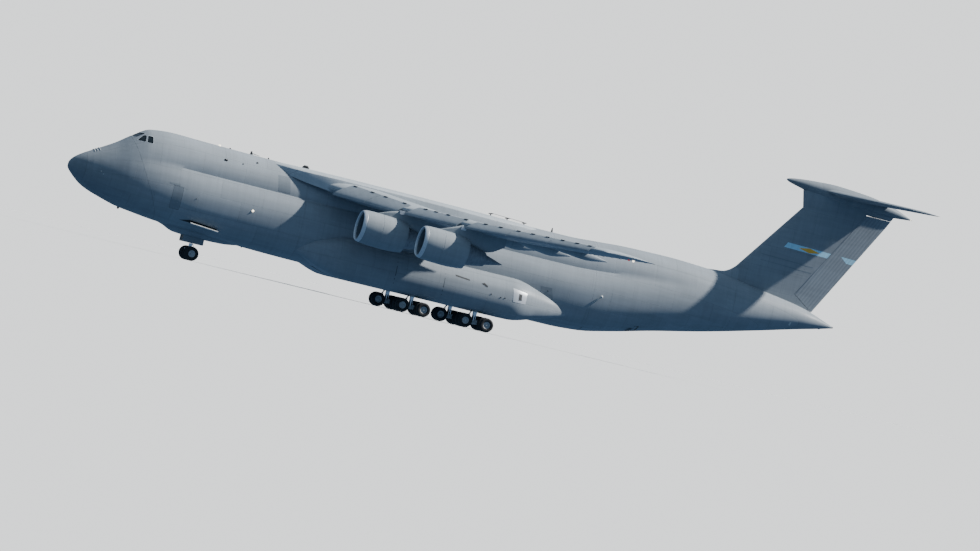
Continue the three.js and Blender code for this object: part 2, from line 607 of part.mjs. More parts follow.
const finRing = (row) => foilPoints(row.chord, row.thickness, 0, 0, 0)
  .map(([aft, across]) => place(row.lead + aft, across, row.z));
const bulletRing = (growth) => (row) => {
  const ring = [];
  for (let i = 0; i < BULLET_SIDES; i += 1) {
    const angle = (i / BULLET_SIDES) * 2 * Math.PI;
    const radius = row.radius + growth;
    ring.push(place(row.s, radius * Math.cos(angle), row.height + radius * Math.sin(angle)));
  }
  return ring;
};
const bulletGrown = loft(BULLET.map(bulletRing(TOUCH)));
const finWhole = cut(join(loft(FIN.map(finRing)), plate(DORSAL, [-0.28, 0.28])), bulletGrown);
const rudderTools = surfaceTools(
  [RUDDER.low[0], 0, RUDDER.low[1]],
  [RUDDER.high[0], 0, RUDDER.high[1]],
  [1, 0],
  6,
  RUDDER.fall,
  HINGE_GAP,
  RUDDER.topGap,
);
const rudderPivot = place(RUDDER.low[0], 0, RUDDER.low[1]);
addPiece('fin', cut(finWhole, rudderTools.slot, fuselage(50, 70.2, TOUCH)), PAINT);
addPiece('rudder', finWhole.intersect(rudderTools.leaf), PAINT, rudderPivot);

function tailplaneHalf(side) {
  return loft(TAILPLANE.map((row) => foilPoints(row.chord, row.thickness, 0, 0, 0)
    .map(([aft, up]) => place(row.lead + aft, side * row.y, row.height + up))));
}
const tailplaneParts = [loft(BULLET.map(bulletRing(0)))];
for (const [hand, side] of HANDS) {
  const onTailplane = (y) => {
    const row = readTable(TAILPLANE, 'y', y);
    return [row.lead + ELEVATOR.share * row.chord, side * y, row.height];
  };
  const tools = surfaceTools(onTailplane(ELEVATOR.inner), onTailplane(ELEVATOR.outer), [0, 1], 5);
  const half = tailplaneHalf(side);
  tailplaneParts.push(cut(half, tools.slot));
  addPiece(`elevator_${hand}`, half.intersect(tools.leaf), PAINT, place(...onTailplane(ELEVATOR.inner)));
}
addPiece('tailplane', join(...tailplaneParts), PAINT);

// Gear pods along the lower sides, as a share of the full form at each station
const POD = [
  { s: 20.6, share: 0.3 },
  { s: 22.4, share: 0.72 },
  { s: 24.6, share: 1.0 },
  { s: 40.4, share: 1.0 },
  { s: 43.6, share: 0.72 },
  { s: 46.6, share: 0.3 },
];
const POD_HOME = [2.5, 3.4];
const POD_FORM = [
  [0.0, 1.6], [2.2, 1.5], [4.2, 1.52], [5.0, 1.95], [5.25, 2.9], [5.1, 3.9], [4.55, 4.7], [3.6, 5.15], [2.5, 5.15], [0.0, 3.4],
];
const LEGS = [
  { name: 'front', s: 31.4 },
  { name: 'rear', s: 37.2 },
];
const LEG_Y = 4.175;
const WELL = { along: 0.5, across: 0.45, top: 3.3 };
const belly = fuselage(18, 50, TOUCH);
for (const [hand, side] of HANDS) {
  const pod = loft(POD.map((row) => POD_FORM.map(([y, z]) => place(
    row.s,
    side * (y === 0 ? TOUCH : mix(POD_HOME[0], y, row.share)),
    mix(POD_HOME[1], z, row.share),
  ))));
  const wells = LEGS.map((leg) => block(
    [leg.s - WELL.along, leg.s + WELL.along],
    [side * LEG_Y - WELL.across, side * LEG_Y + WELL.across],
    [0, WELL.top],
  ));
  addPiece(`gear_pod_${hand}`, cut(pod, belly, ...wells), PAINT);
}

addPiece('fuselage_centre', centreBody, PAINT);
addPiece('fuselage_aft', aftBody, PAINT);
addPiece('tail_cone', tailBody, PAINT);

// Engines: fan cowl with its pylon, core with its nozzle, and the fan
const ENGINES = [
  { name: 'inner', y: 12.2, lip: 23.2, height: 6.36 },
  { name: 'outer', y: 18.9, lip: 26.96, height: 6.23 },
];
const ENGINE_TILT = THREE.MathUtils.degToRad(2.5);   // nose up, about the middle of the lip
const COWL = [
  [0.0, 1.27], [0.15, 1.37], [0.9, 1.45], [2.4, 1.46], [4.1, 1.27],
  [4.1, 1.22], [1.6, 1.21], [0.2, 1.17],
];
const CORE = [
  [1.46, 0], [1.46, 0.4], [1.8, 0.62], [3.0, 0.92], [4.1, 0.9], [5.85, 0.57], [5.85, 0.45], [7.5, 0.04], [7.5, 0],
];
const FAN = { front: 0.95, back: 1.3, tip: 1.13, hub: 0.4, blades: 14, chord: 0.3, thickness: 0.02, pitch: 38 };
const PYLON_HALF = 0.22;
const COWL_SIDES = 20;
const CORE_SIDES = 14;
const HUB_SIDES = 12;

function fanRotor(at) {
  const spinner = [[0.4, 0], [0.55, 0.18], [0.9, FAN.hub], [1.44, FAN.hub], [1.44, 0]];
  const hub = turnedAft(spinner, at, HUB_SIDES, ENGINE_TILT);
  const blades = [];
  for (let i = 0; i < FAN.blades; i += 1) {
    const blade = new THREE.BoxGeometry(FAN.chord * M, FAN.thickness * M, (FAN.tip - FAN.hub + 0.1) * M);
    blade.rotateZ(THREE.MathUtils.degToRad(FAN.pitch));
    blade.translate(-((FAN.front + FAN.back) / 2) * M, 0, ((FAN.tip + FAN.hub - 0.1) / 2) * M);
    blade.rotateX((i / FAN.blades) * 2 * Math.PI);
    blade.rotateY(-ENGINE_TILT);
    blade.translate(...at);
    blades.push(solidOf(blade));
  }
  return join(hub, ...blades);
}

for (const [hand, side] of HANDS) {
  const wingSkin = wing(side, TOUCH);
  for (const engine of ENGINES) {
    const at = place(engine.lip, side * engine.y, engine.height);
    const [leadS, leadZ] = onWing(engine.y, 0);
    const [rearS, rearZ] = onWing(engine.y, 0.5);
    const cowl = turnedAft([...COWL, COWL[0]], at, COWL_SIDES, ENGINE_TILT);
    const core = turnedAft(CORE, at, CORE_SIDES, ENGINE_TILT);
    const coreGrown = CORE.map(([aft, radius]) => [aft, radius === 0 ? 0 : radius + 2 * TOUCH]);
    const coreSkin = turnedAft(coreGrown, at, CORE_SIDES, ENGINE_TILT);
    const outline = [
      [engine.lip + 1.3, engine.height + 1.34],
      [engine.lip + 3.0, engine.height + 1.95],
      [leadS - 0.15, leadZ - 0.1],
      [leadS + 0.6, leadZ + 0.1],
      [rearS, rearZ],
      [engine.lip + 7.3, engine.height + 1.1],
      [engine.lip + 5.8, engine.height + 0.25],
      [engine.lip + 2.4, engine.height + 0.7],
      [engine.lip + 2.0, engine.height + 1.24],
    ];
    const pylon = plate(outline, [side * engine.y - PYLON_HALF, side * engine.y + PYLON_HALF]);
    addPiece(`engine_pod_${engine.name}_${hand}`, join(cowl, cut(pylon, wingSkin, coreSkin)), PAINT, at);
    addPiece(`engine_core_${engine.name}_${hand}`, core, HOT_METAL, at);
    addPiece(`fan_${engine.name}_${hand}`, fanRotor(at), BLADE, at);
  }
}

// Landing gear: wheels in pairs on turning axles, and the legs that carry them
const TYRE = { radius: 0.6225, width: 0.432, rim: 0.3 };
const AXLE = 0.1;
const AXLE_PLAY = 0.011;
const MAIN_SPACING = 0.86;
const NOSE_SPACING = 0.62;
const WHEEL_SIDES = 14;
const TANDEM = 0.825;
const REAR_PAIR_Y = 1.105;

// A wheel's profile, as [share of the tyre's width from its middle, share of the tyre's radius].
const WHEEL_FORM = [[-0.46, 0.5], [-0.5, 0.8], [-0.3, 1], [0.3, 1], [0.5, 0.8], [0.46, 0.5]];

// Two wheels on one axle that turns, along y; the axle may reach on to a stub's end on one side.
function wheelPair(at, spacing, stub) {
  const middles = [-spacing / 2, spacing / 2];
  const profile = [];
  for (const middle of middles) {
    profile.push([middle - WHEEL_FORM[5][0] * TYRE.width, AXLE]);
    for (const [across, radius] of WHEEL_FORM.slice(1, 5)) {
      profile.push([middle + across * TYRE.width, radius * TYRE.radius]);
    }
    profile.push([middle + WHEEL_FORM[5][0] * TYRE.width, AXLE]);
  }
  const reach = Math.abs(stub);
  if (reach > 0) profile.push([reach, AXLE]);
  profile.unshift([profile[0][0], 0]);
  profile.push([profile[profile.length - 1][0], 0]);
  const points = profile.map(([y, radius]) => new THREE.Vector2(radius * M, y * M));
  const geometry = new THREE.LatheGeometry(points, WHEEL_SIDES);
  if (stub < 0) geometry.rotateX(Math.PI);
  geometry.translate(...at);
  return solidOf(geometry);
}

const axleBore = (s, y, height) => bar(place(s, y[0], height), place(s, y[1], height), AXLE + AXLE_PLAY);

for (const [hand, side] of HANDS) {
  for (const leg of LEGS) {
    const y = side * LEG_Y;
    const frontS = leg.s - TANDEM;
    const rearS = leg.s + TANDEM;
    const z = TYRE.radius;
    const beam = block([frontS - 0.16, rearS + 0.16], [y - 0.14, y + 0.14], [z - 0.17, z + 0.17]);
    const cross = bar(place(rearS, y - 0.4, z), place(rearS, y + 0.4, z), 0.17);
    const post = bar(place(leg.s, y, z), place(leg.s, y, WELL.top - TOUCH), 0.2);
    const sleeve = bar(place(leg.s, y, 1.5), place(leg.s, y, WELL.top - TOUCH), 0.29);
    const bores = [
      axleBore(frontS, [y - 0.5, y + 0.5], z),
      axleBore(rearS, [y - 0.5, y + 0.5], z),
    ];
    addPiece(`main_leg_${leg.name}_${hand}`, cut(join(beam, cross, post, sleeve), ...bores), GEAR_PAINT);
    const pairs = [
      { name: 'front', s: frontS, y, stub: 0 },
      { name: 'rear_inner', s: rearS, y: y - side * REAR_PAIR_Y, stub: side * (REAR_PAIR_Y - 0.1) },
      { name: 'rear_outer', s: rearS, y: y + side * REAR_PAIR_Y, stub: side * (0.1 - REAR_PAIR_Y) },
    ];
    for (const pair of pairs) {
      const at = place(pair.s, pair.y, z);
      addPiece(`wheels_${leg.name}_leg_${pair.name}_${hand}`, wheelPair(at, MAIN_SPACING, pair.stub), RUBBER, at);
    }
  }
}

// Nose gear: fixed leg, and the steered piston with its axle block
const NOSE_PAIR_Y = 0.78;
const STEER_HEIGHT = 1.5;
const TOW_LUG = { s: [NOSE_GEAR_S - 0.45, NOSE_GEAR_S], y: [-0.09, 0.09], z: [0.86, 1.02] };
{
  const z = TYRE.radius;
  const steerPivot = place(NOSE_GEAR_S, 0, STEER_HEIGHT);
  const leg = bar(place(NOSE_GEAR_S, 0, STEER_HEIGHT), place(NOSE_GEAR_S, 0, BAY.z[1] - TOUCH), 0.22);
  const brace = bar(place(NOSE_GEAR_S, 0, 1.75), place(BAY.s[1] - 0.2, 0, BAY.z[1] - 0.1), 0.09);
  addPiece('nose_gear_leg', join(leg, brace), GEAR_PAINT);
  const piston = bar(place(NOSE_GEAR_S, 0, z), place(NOSE_GEAR_S, 0, STEER_HEIGHT - 0.012), 0.16);
  const axleBlock = bar(place(NOSE_GEAR_S, -0.2, z), place(NOSE_GEAR_S, 0.2, z), 0.18);
  const bore = axleBore(NOSE_GEAR_S, [-0.4, 0.4], z);
  const towLug = block(TOW_LUG.s, TOW_LUG.y, TOW_LUG.z);
  addPiece('nose_gear_piston', cut(join(piston, axleBlock, towLug), bore), GEAR_PAINT, steerPivot);
  for (const [hand, side] of HANDS) {
    const at = place(NOSE_GEAR_S, side * NOSE_PAIR_Y, z);
    const stub = side * (0.02 - NOSE_PAIR_Y);
    addPiece(`nose_wheels_${hand}`, wheelPair(at, NOSE_SPACING, stub), RUBBER, at);
  }
}

export default aircraft;
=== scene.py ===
"""Heavy military transport plane at half scale: the surfaces and finishes of every piece.

A place is written as on the real aircraft, in metres: s aft of the nose tip, y to port, z above the ground.
place() turns it to the frame, which is half that size, with +X forward and its origin under the middle.
"""
import logging
import math
from dataclasses import dataclass
from enum import Enum
from functools import cached_property
from typing import Callable, Sequence

import bmesh
import bpy
import numpy as np
from mathutils import Matrix, Vector

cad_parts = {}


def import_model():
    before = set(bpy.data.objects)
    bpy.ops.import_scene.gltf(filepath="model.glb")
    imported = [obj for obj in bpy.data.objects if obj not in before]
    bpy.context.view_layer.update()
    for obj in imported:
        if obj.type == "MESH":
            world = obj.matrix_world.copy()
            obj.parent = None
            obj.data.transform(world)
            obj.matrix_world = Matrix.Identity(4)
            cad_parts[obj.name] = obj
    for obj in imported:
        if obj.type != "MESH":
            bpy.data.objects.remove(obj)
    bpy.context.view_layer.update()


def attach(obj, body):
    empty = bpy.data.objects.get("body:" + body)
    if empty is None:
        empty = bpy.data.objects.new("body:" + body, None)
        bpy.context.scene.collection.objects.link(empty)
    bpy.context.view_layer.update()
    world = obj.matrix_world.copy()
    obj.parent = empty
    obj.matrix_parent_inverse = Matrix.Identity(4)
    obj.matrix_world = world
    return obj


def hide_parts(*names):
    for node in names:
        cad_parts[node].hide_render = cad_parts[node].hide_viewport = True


LOG = logging.getLogger("plane")
SCALE = 0.5
ROUND_STEPS = 5
HANDS = (("port", 1), ("starboard", -1))
# In real metres: the aircraft's size, the gap round its doors, and the bay that hull and blister share
LENGTH = 75.31
HALF_SPAN = 33.95
CLEAR = 0.014
NOSE_BAY_S = (11.2, 13.2)
NOSE_BAY_Y = (-0.55, 0.55)
NOSE_BAY_TOP = 2.86
Array = np.ndarray
Socket = bpy.types.NodeSocket
Materials = Sequence[bpy.types.Material]
Places = Sequence[Sequence[float]]
Pair = tuple[float, float]
Triple = tuple[float, float, float]


def place(s: Array | float, y: Array | float, z: Array | float) -> Array:
    """Turns real places to frame points.

    Args:
        s: metres aft of the nose tip.
        y: metres to port.
        z: metres above the ground.

    Returns:
        Points in the frame, with the three coordinates along the last axis.
    """
    s, y, z = np.broadcast_arrays(s, y, z)
    return np.stack([(LENGTH / 2 - s) * SCALE, y * SCALE, z * SCALE], axis=-1)


def real(point: Array) -> Triple:
    """The real place (s, y, z) of a frame point."""
    x, y, z = point / SCALE
    return LENGTH / 2 - x, y, z


def mix(a: Array | float, b: Array | float, share: Array | float) -> Array | float:
    """Goes from a to b as share goes from 0 to 1."""
    return a + (b - a) * share


def smooth(keys: Array, values: Array, at: Array) -> Array:
    """Reads a table on a monotone cubic curve, which joins its rows without new humps.

    The slope at a row is the weighted harmonic mean of the slopes before and after it, or 0 where they
    differ in sign.

    Args:
        keys: the rising column that the table is read by, one value for each row.
        values: the other columns.
        at: where to read.

    Returns:
        One row of values for each place in at.
    """
    step = np.diff(keys)[:, None]
    slope = np.diff(values, axis=0) / step
    before, after = slope[:-1], slope[1:]
    near, far = 2 * step[1:] + step[:-1], step[1:] + 2 * step[:-1]
    turning = before * after <= 0
    safe_before, safe_after = np.where(turning, 1, before), np.where(turning, 1, after)
    inner = np.where(turning, 0, (near + far) / (near / safe_before + far / safe_after))
    tangent = np.vstack([slope[:1], inner, slope[-1:]])
    i = np.clip(np.searchsorted(keys, at, side="right") - 1, 0, len(keys) - 2)
    t = ((at - keys[i]) / (keys[i + 1] - keys[i]))[:, None]
    rise = step[i]
    start = values[i] * (1 + 2 * t) * (1 - t) ** 2 + tangent[i] * rise * t * (1 - t) ** 2
    return start + values[i + 1] * t * t * (3 - 2 * t) + tangent[i + 1] * rise * t * t * (t - 1)


def columns(keys: Array, values: Array, at: Array) -> Array:
    """Reads a table as smooth does and sets each of its columns upright, to meet a row of angles."""
    return smooth(keys, values, at).T[:, :, None]


def bent(value: Array, power: float) -> Array:
    """A value raised to a power, with its sign kept."""
    return np.sign(value) * np.abs(value) ** power


def circle(sides: int) -> Array:
    """The angles of a circle's corners."""
    return np.linspace(0, 2 * math.pi, sides, endpoint=False)


def spread(low: float, high: float, steps: int, *kept: float) -> Array:
    """Even steps from low to high, with the kept values put in between."""
    inside = [value for value in kept if low < value < high]
    return np.unique(np.concatenate([np.linspace(low, high, steps + 1), inside]))


# Shapes and solids


class Shape:
    """Corners and faces that become one mesh, with the number of a finish for each face."""

    def __init__(self, points: Array, faces: list, finish: Sequence[int] | int = 0) -> None:
        """Keeps the corners, the faces as lists of corner numbers, and each face's finish.

        Args:
            points: the corners, in the frame.
            faces: lists of corner numbers.
            finish: the number of the finish of each face, or one for all.
        """
        self.points = np.asarray(points, float).reshape(-1, 3)
        self.faces = faces
        self.finish = [finish] * len(faces) if isinstance(finish, int) else list(finish)

    @classmethod
    def skin(cls, grid: Array, wrap: bool = True, caps: bool = True, ring: bool = False,
             finish: int = 0) -> "Shape":
        """Lays faces over a grid of points.

        Args:
            grid: points in rows, as an array of rows by columns by 3.
            wrap: whether each row closes on itself.
            caps: whether the first and last row are closed by a face.
            ring: whether the last row joins the first.
            finish: the number of the finish of all faces.

        Returns:
            The skin.
        """
        rows, width = grid.shape[:2]
        index = np.arange(rows * width).reshape(rows, width)
        wide = np.concatenate([index, index[:, :1]], axis=1) if wrap else index
        wide = np.concatenate([wide, wide[:1]], axis=0) if ring else wide
        corners = [wide[:-1, :-1], wide[:-1, 1:], wide[1:, 1:], wide[1:, :-1]]
        faces = np.stack(corners, axis=-1).reshape(-1, 4).tolist()
        if caps and not ring:
            faces += [index[0][::-1].tolist(), index[-1].tolist()]
        return cls(grid, faces, finish)

    def __add__(self, other: "Shape") -> "Shape":
        """Both shapes as one."""
        return total([self, other])

    def mirrored(self) -> "Shape":
        """The same shape on the other side of the aircraft."""
        return Shape(self.points * [1, -1, 1], [face[::-1] for face in self.faces], self.finish)

    def on(self, side: int) -> "Shape":
        """The shape itself to port, for side 1, or its mirror image."""
        return self if side > 0 else self.mirrored()

    def turned(self, angle: float, pivot: Array, axis: Array) -> "Shape":
        """The shape turned by an angle in degrees about an axis through a pivot, both in the frame."""
        turn = np.array(Matrix.Rotation(math.radians(angle), 3, Vector(axis)))
        return Shape((self.points - pivot) @ turn.T + pivot, self.faces, self.finish)

    def moved(self, s: float, y: float, z: float) -> "Shape":
        """The shape moved aft, to port and up, in real metres."""
        return Shape(self.points + [-s * SCALE, y * SCALE, z * SCALE], self.faces, self.finish)

    def of(self, finish: int) -> "Shape":
        """The shape with all its faces in one finish."""
        return Shape(self.points, self.faces, finish)

    def mesh(self, name: str) -> bpy.types.Mesh:
        """Makes the Blender mesh, merged and with its normals outwards.

        Args:
            name: the mesh's name.

        Returns:
            The mesh.
        """
        mesh = bpy.data.meshes.new(name)
        mesh.from_pydata(self.points.tolist(), [], self.faces)
        mesh.polygons.foreach_set("material_index", np.array(self.finish, np.int32))
        tidy(mesh)
        return mesh


def tidy(mesh: bpy.types.Mesh) -> None:
    """Merges corners that lie together and turns closed shells outwards.

    Args:
        mesh: the mesh, which is changed.
    """
    work = bmesh.new()
    work.from_mesh(mesh)
    bmesh.ops.remove_doubles(work, verts=work.verts, dist=2e-5)
    bmesh.ops.dissolve_degenerate(work, edges=work.edges, dist=1e-5)
    bmesh.ops.recalc_face_normals(work, faces=work.faces)
    work.to_mesh(mesh)
    work.free()


def total(shapes: Sequence[Shape]) -> Shape:
    """All the shapes as one.

    Args:
        shapes: one shape or more.

    Returns:
        One shape, with the corners and faces in the same order.
    """
    points, faces, finish, start = [], [], [], 0
    for shape in shapes:
        points.append(shape.points)
        faces += [[corner + start for corner in face] for face in shape.faces]
        finish += shape.finish
        start += len(shape.points)
    return Shape(np.vstack(points), faces, finish)


def both(shape: Shape) -> Shape:
    """A shape with its mirror image."""
    return shape + shape.mirrored()


class Operation(Enum):
    """What a tool does to a solid."""

    CUT = "DIFFERENCE"
    TRIM = "INTERSECT"
    JOIN = "UNION"


class Solid:
    """A closed mesh in the scene that others cut, trim or join."""

    def __init__(self, shape: Shape) -> None:
        """Puts the shape into the scene."""
        self.obj = bpy.data.objects.new("solid", shape.mesh("solid"))
        bpy.context.scene.collection.objects.link(self.obj)

    def combine(self, operation: Operation, shapes: Sequence[Shape]) -> "Solid":
        """Cuts, trims or joins this solid.

        Args:
            operation: what is done.
            shapes: the closed shapes that it is done with, one after another.

        Returns:
            This solid, changed.
        """
        for shape in shapes:
            tool = bpy.data.objects.new("tool", shape.mesh("tool"))
            bpy.context.scene.collection.objects.link(tool)
            modifier = self.obj.modifiers.new("carve", "BOOLEAN")
            modifier.operation = operation.value
            modifier.solver = "MANIFOLD"
            modifier.object = tool
            graph = bpy.context.evaluated_depsgraph_get()
            mesh = bpy.data.meshes.new_from_object(self.obj.evaluated_get(graph))
            self.obj.modifiers.clear()
            if not len(mesh.polygons):
                LOG.warning("a %s left nothing", operation.name)
            self.obj.data = mesh
            bpy.data.objects.remove(tool)
        return self

    def cut(self, *shapes: Shape) -> "Solid":
        """Takes the shapes away."""
        return self.combine(Operation.CUT, shapes)

    def within(self, *shapes: Shape) -> "Solid":
        """Keeps what lies inside all the shapes."""
        return self.combine(Operation.TRIM, shapes)

    def joined(self, *shapes: Shape) -> "Solid":
        """Adds the shapes."""
        return self.combine(Operation.JOIN, shapes)

    def shape(self) -> Shape:
        """Takes the solid out of the scene again, as a shape.

        Returns:
            The shape, with the finish of each face.
        """
        mesh = self.obj.data
        points = np.zeros(len(mesh.vertices) * 3)
        mesh.vertices.foreach_get("co", points)
        faces = [list(face.vertices) for face in mesh.polygons]
        finish = [face.material_index for face in mesh.polygons]
        bpy.data.objects.remove(self.obj)
        return Shape(points.reshape(-1, 3), faces, finish)


def loft(rings: Sequence[Array], finish: int = 0) -> Shape:
    """Joins rings of points, one after another, into a closed body."""
    return Shape.skin(np.stack(rings), finish=finish)


def box(s: Sequence[float], y: Sequence[float], z: Sequence[float], finish: int = 0) -> Shape:
    """A block between two places."""
    return prism(rectangle(s, z), y, finish)


def rectangle(s: Sequence[float], z: Sequence[float]) -> list[Pair]:
    """The (s, z) corners of a rectangle."""
    return [(s[0], z[0]), (s[1], z[0]), (s[1], z[1]), (s[0], z[1])]


def prism(outline: Places, y: Sequence[float], finish: int = 0) -> Shape:
    """An outline of (s, z) corners in the side view, with its thickness across y."""
    s, z = np.array(outline, float).T
    return loft([place(s, side, z) for side in y], finish)


def softened(outline: Places, radius: float, grown: float = 0.0) -> Array:
    """Grows a convex outline and rounds its corners.

    Args:
        outline: its corners, in order.
        radius: how far from each corner the round starts.
        grown: how far its edges are moved outwards first.

    Returns:
        The new corners.
    """
    corners = np.array(outline, float)
    edge = np.roll(corners, -1, axis=0) - corners
    edge /= np.linalg.norm(edge, axis=1, keepdims=True)
    normal = np.stack([edge[:, 1], -edge[:, 0]], axis=1)
    normal *= np.sign(np.sum(normal * (corners - corners.mean(axis=0)), axis=1))[:, None]
    before = np.roll(normal, 1, axis=0)
    corners = corners + grown * (before + normal) / (1 + np.sum(before * normal, axis=1))[:, None]
    t = np.linspace(0, 1, ROUND_STEPS)[:, None]
    parts = []
    for i, corner in enumerate(corners):
        sides = [corners[i - 1] - corner, corners[(i + 1) % len(corners)] - corner]
        first, last = (corner + side * min(radius / np.linalg.norm(side), 0.45) for side in sides)
        parts.append((1 - t) ** 2 * first + 2 * t * (1 - t) * corner + t * t * last)
    return np.vstack(parts)


def rounded(s: Sequence[float], z: Sequence[float], radius: float) -> Array:
    """The (s, z) corners of a rectangle with rounds."""
    return softened(rectangle(s, z), radius)


def lathe(profile: Places, at: Sequence[float], across: bool = False, sides: int = 48,
          ring: bool = False, finish: int = 0) -> Shape:
    """Turns a profile about a line through a place.

    Args:
        profile: (distance along the line, radius) corners.
        at: the place (s, y, z) that distances are measured from.
        across: whether the line runs to port instead of aft.
        sides: how many flats make the round.
        ring: whether the profile closes on itself.
        finish: the number of the finish.

    Returns:
        The turned shape; a radius is carried round the line as (cos, sin) of the angle.
    """
    corners, angle = np.array(profile, float), circle(sides)
    along, radius = corners[:, :1], corners[:, 1:]
    wide, high = radius * np.cos(angle), radius * np.sin(angle)
    s, y = (wide, along) if across else (along, wide)
    return Shape.skin(place(at[0] + s, at[1] + y, at[2] + high), ring=ring, finish=finish)


def pipe(path: Places, radius: float | Sequence[float], sides: int = 12,
         finish: int = 0) -> Shape:
    """Carries a circle along a path of (s, y, z) places, square to the path at each one.

    Args:
        path: the places, two or more.
        radius: one radius, or one for each place.
        sides: how many flats make the round.
        finish: the number of the finish.

    Returns:
        The pipe, closed at both ends.
    """
    line = np.array(path, float)
    ahead = np.gradient(line, axis=0)
    ahead /= np.linalg.norm(ahead, axis=1, keepdims=True)
    spare = np.array([0, 0, 1.0]) if abs(ahead[0][2]) < 0.9 else np.array([0, 1.0, 0])
    aside = np.cross(ahead, spare)
    aside /= np.linalg.norm(aside, axis=1, keepdims=True)
    above = np.cross(aside, ahead)
    angle = circle(sides)[None, :, None]
    size = np.broadcast_to(np.asarray(radius, float), len(line))[:, None, None]
    grid = line[:, None] + size * (np.cos(angle) * aside[:, None] + np.sin(angle) * above[:, None])
    return Shape.skin(place(*np.moveaxis(grid, -1, 0)), finish=finish)


def plate(side: Callable, corners: Places, lift: float, finish: int = 0) -> Shape:
    """Lays a thin plate over a skin to port.

    Args:
        side: gives the skin's y at arrays of s and z.
        corners: four (s, z) corners, in order.
        lift: how far its outside stands off the skin.
        finish: the number of the finish.

    Returns:
        The plate, closed, with its back inside the skin.
    """
    first, second, third, fourth = np.array(corners, float)
    t = np.linspace(0, 1, 9)
    u, v = t[:, None, None], t[None, :, None]
    s, z = np.moveaxis(mix(mix(first, second, u), mix(fourth, third, u), v), -1, 0)
    y = side(s, z).reshape(s.shape)
    outer, inner = (place(s, y + off, z) for off in (lift, -0.03))
    return Shape.skin(np.concatenate([outer, inner[:, ::-1]], axis=1), finish=finish)


def rod(half: float, inner: float, outer: float) -> list[Pair]:
    """The profile of a straight rod or tube, as far one way as the other."""
    return [(-half, inner), (-half, outer), (half, outer), (half, inner)]


def ball(s: float, y: float, z: float, radius: float, finish: int = 0) -> Shape:
    """A small round body about a place.

    Args:
        s: its middle, metres aft of the nose tip.
        y: metres to port.
        z: metres up.
        radius: its radius.
        finish: the number of its finish.

    Returns:
        The ball.
    """
    angle = np.linspace(0.03, math.pi - 0.03, 9)
    profile = np.stack([-np.cos(angle), np.sin(angle)], axis=1) * radius
    return lathe(profile, (s, y, z), sides=14, finish=finish)


def make(name: str, shape: Shape | Solid, finishes: Materials, body: str = "root",
         replaces: Sequence[str] = (), slot: str = "paint", crease: float = 28.0, bevel: float = 0.0) -> None:
    """Makes one finished piece that rides on a body.

    Args:
        name: the piece's name.
        shape: its shape, or a carved solid.
        finishes: its materials, by finish number.
        body: the body that it moves with.
        replaces: the frame's nodes that it stands for.
        slot: a name for the kind of its finish; not used.
        crease: the angle in degrees past which an edge stays sharp.
        bevel: the width in metres of a round on its sharp edges, 0 for none.
    """
    shape = shape.shape() if isinstance(shape, Solid) else shape
    mesh = shape.mesh(name)
    for finish in finishes:
        mesh.materials.append(finish)
    obj = bpy.data.objects.new(name, mesh)
    bpy.context.scene.collection.objects.link(obj)
    mesh.shade_smooth()
    mesh.set_sharp_from_angle(angle=math.radians(crease))
    if bevel:
        modifier = obj.modifiers.new("round", "BEVEL")
        modifier.width = bevel
        modifier.segments = 2
        modifier.limit_method = "ANGLE"
        modifier.angle_limit = math.radians(crease)
        modifier.harden_normals = False
    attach(obj, body)
    if replaces:
        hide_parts(*replaces)
    LOG.info("%s: %d faces on %s", name, len(mesh.polygons), body)


def make_pair(name: str, shape: Shape, finishes: Materials, node: str = "",
              moves: bool = False, **options: str | float) -> None:
    """Makes a piece to port, and its mirror image to starboard.

    Args:
        name: the piece's name, before its hand.
        shape: its shape to port.
        finishes: its materials, by finish number.
        node: the frame's node that it stands for, before its hand, if there is one.
        moves: whether it moves with the body of that name.
        options: what else make() takes.
    """
    for hand, side in HANDS:
        nodes = [f"{node}_{hand}"] if node else []
        make(f"{name}_{hand}", shape.on(side), finishes, nodes[0] if moves else "root", nodes, **options)


# Finishes


def ahead(s: float) -> float:
    """The frame's X of a station."""
    return (LENGTH / 2 - s) * SCALE


def linear(colour: str) -> tuple[float, float, float, float]:
    """The linear colour of an sRGB hex value such as 8a9296.

    Args:
        colour: six hex digits.

    Returns:
        Red, green and blue from 0 to 1, and 1 for opaque.
    """
    parts = [int(colour[i:i + 2], 16) / 255 for i in (0, 2, 4)]
    red, green, blue = (c / 12.92 if c <= 0.04045 else ((c + 0.055) / 1.055) ** 2.4 for c in parts)
    return red, green, blue, 1.0


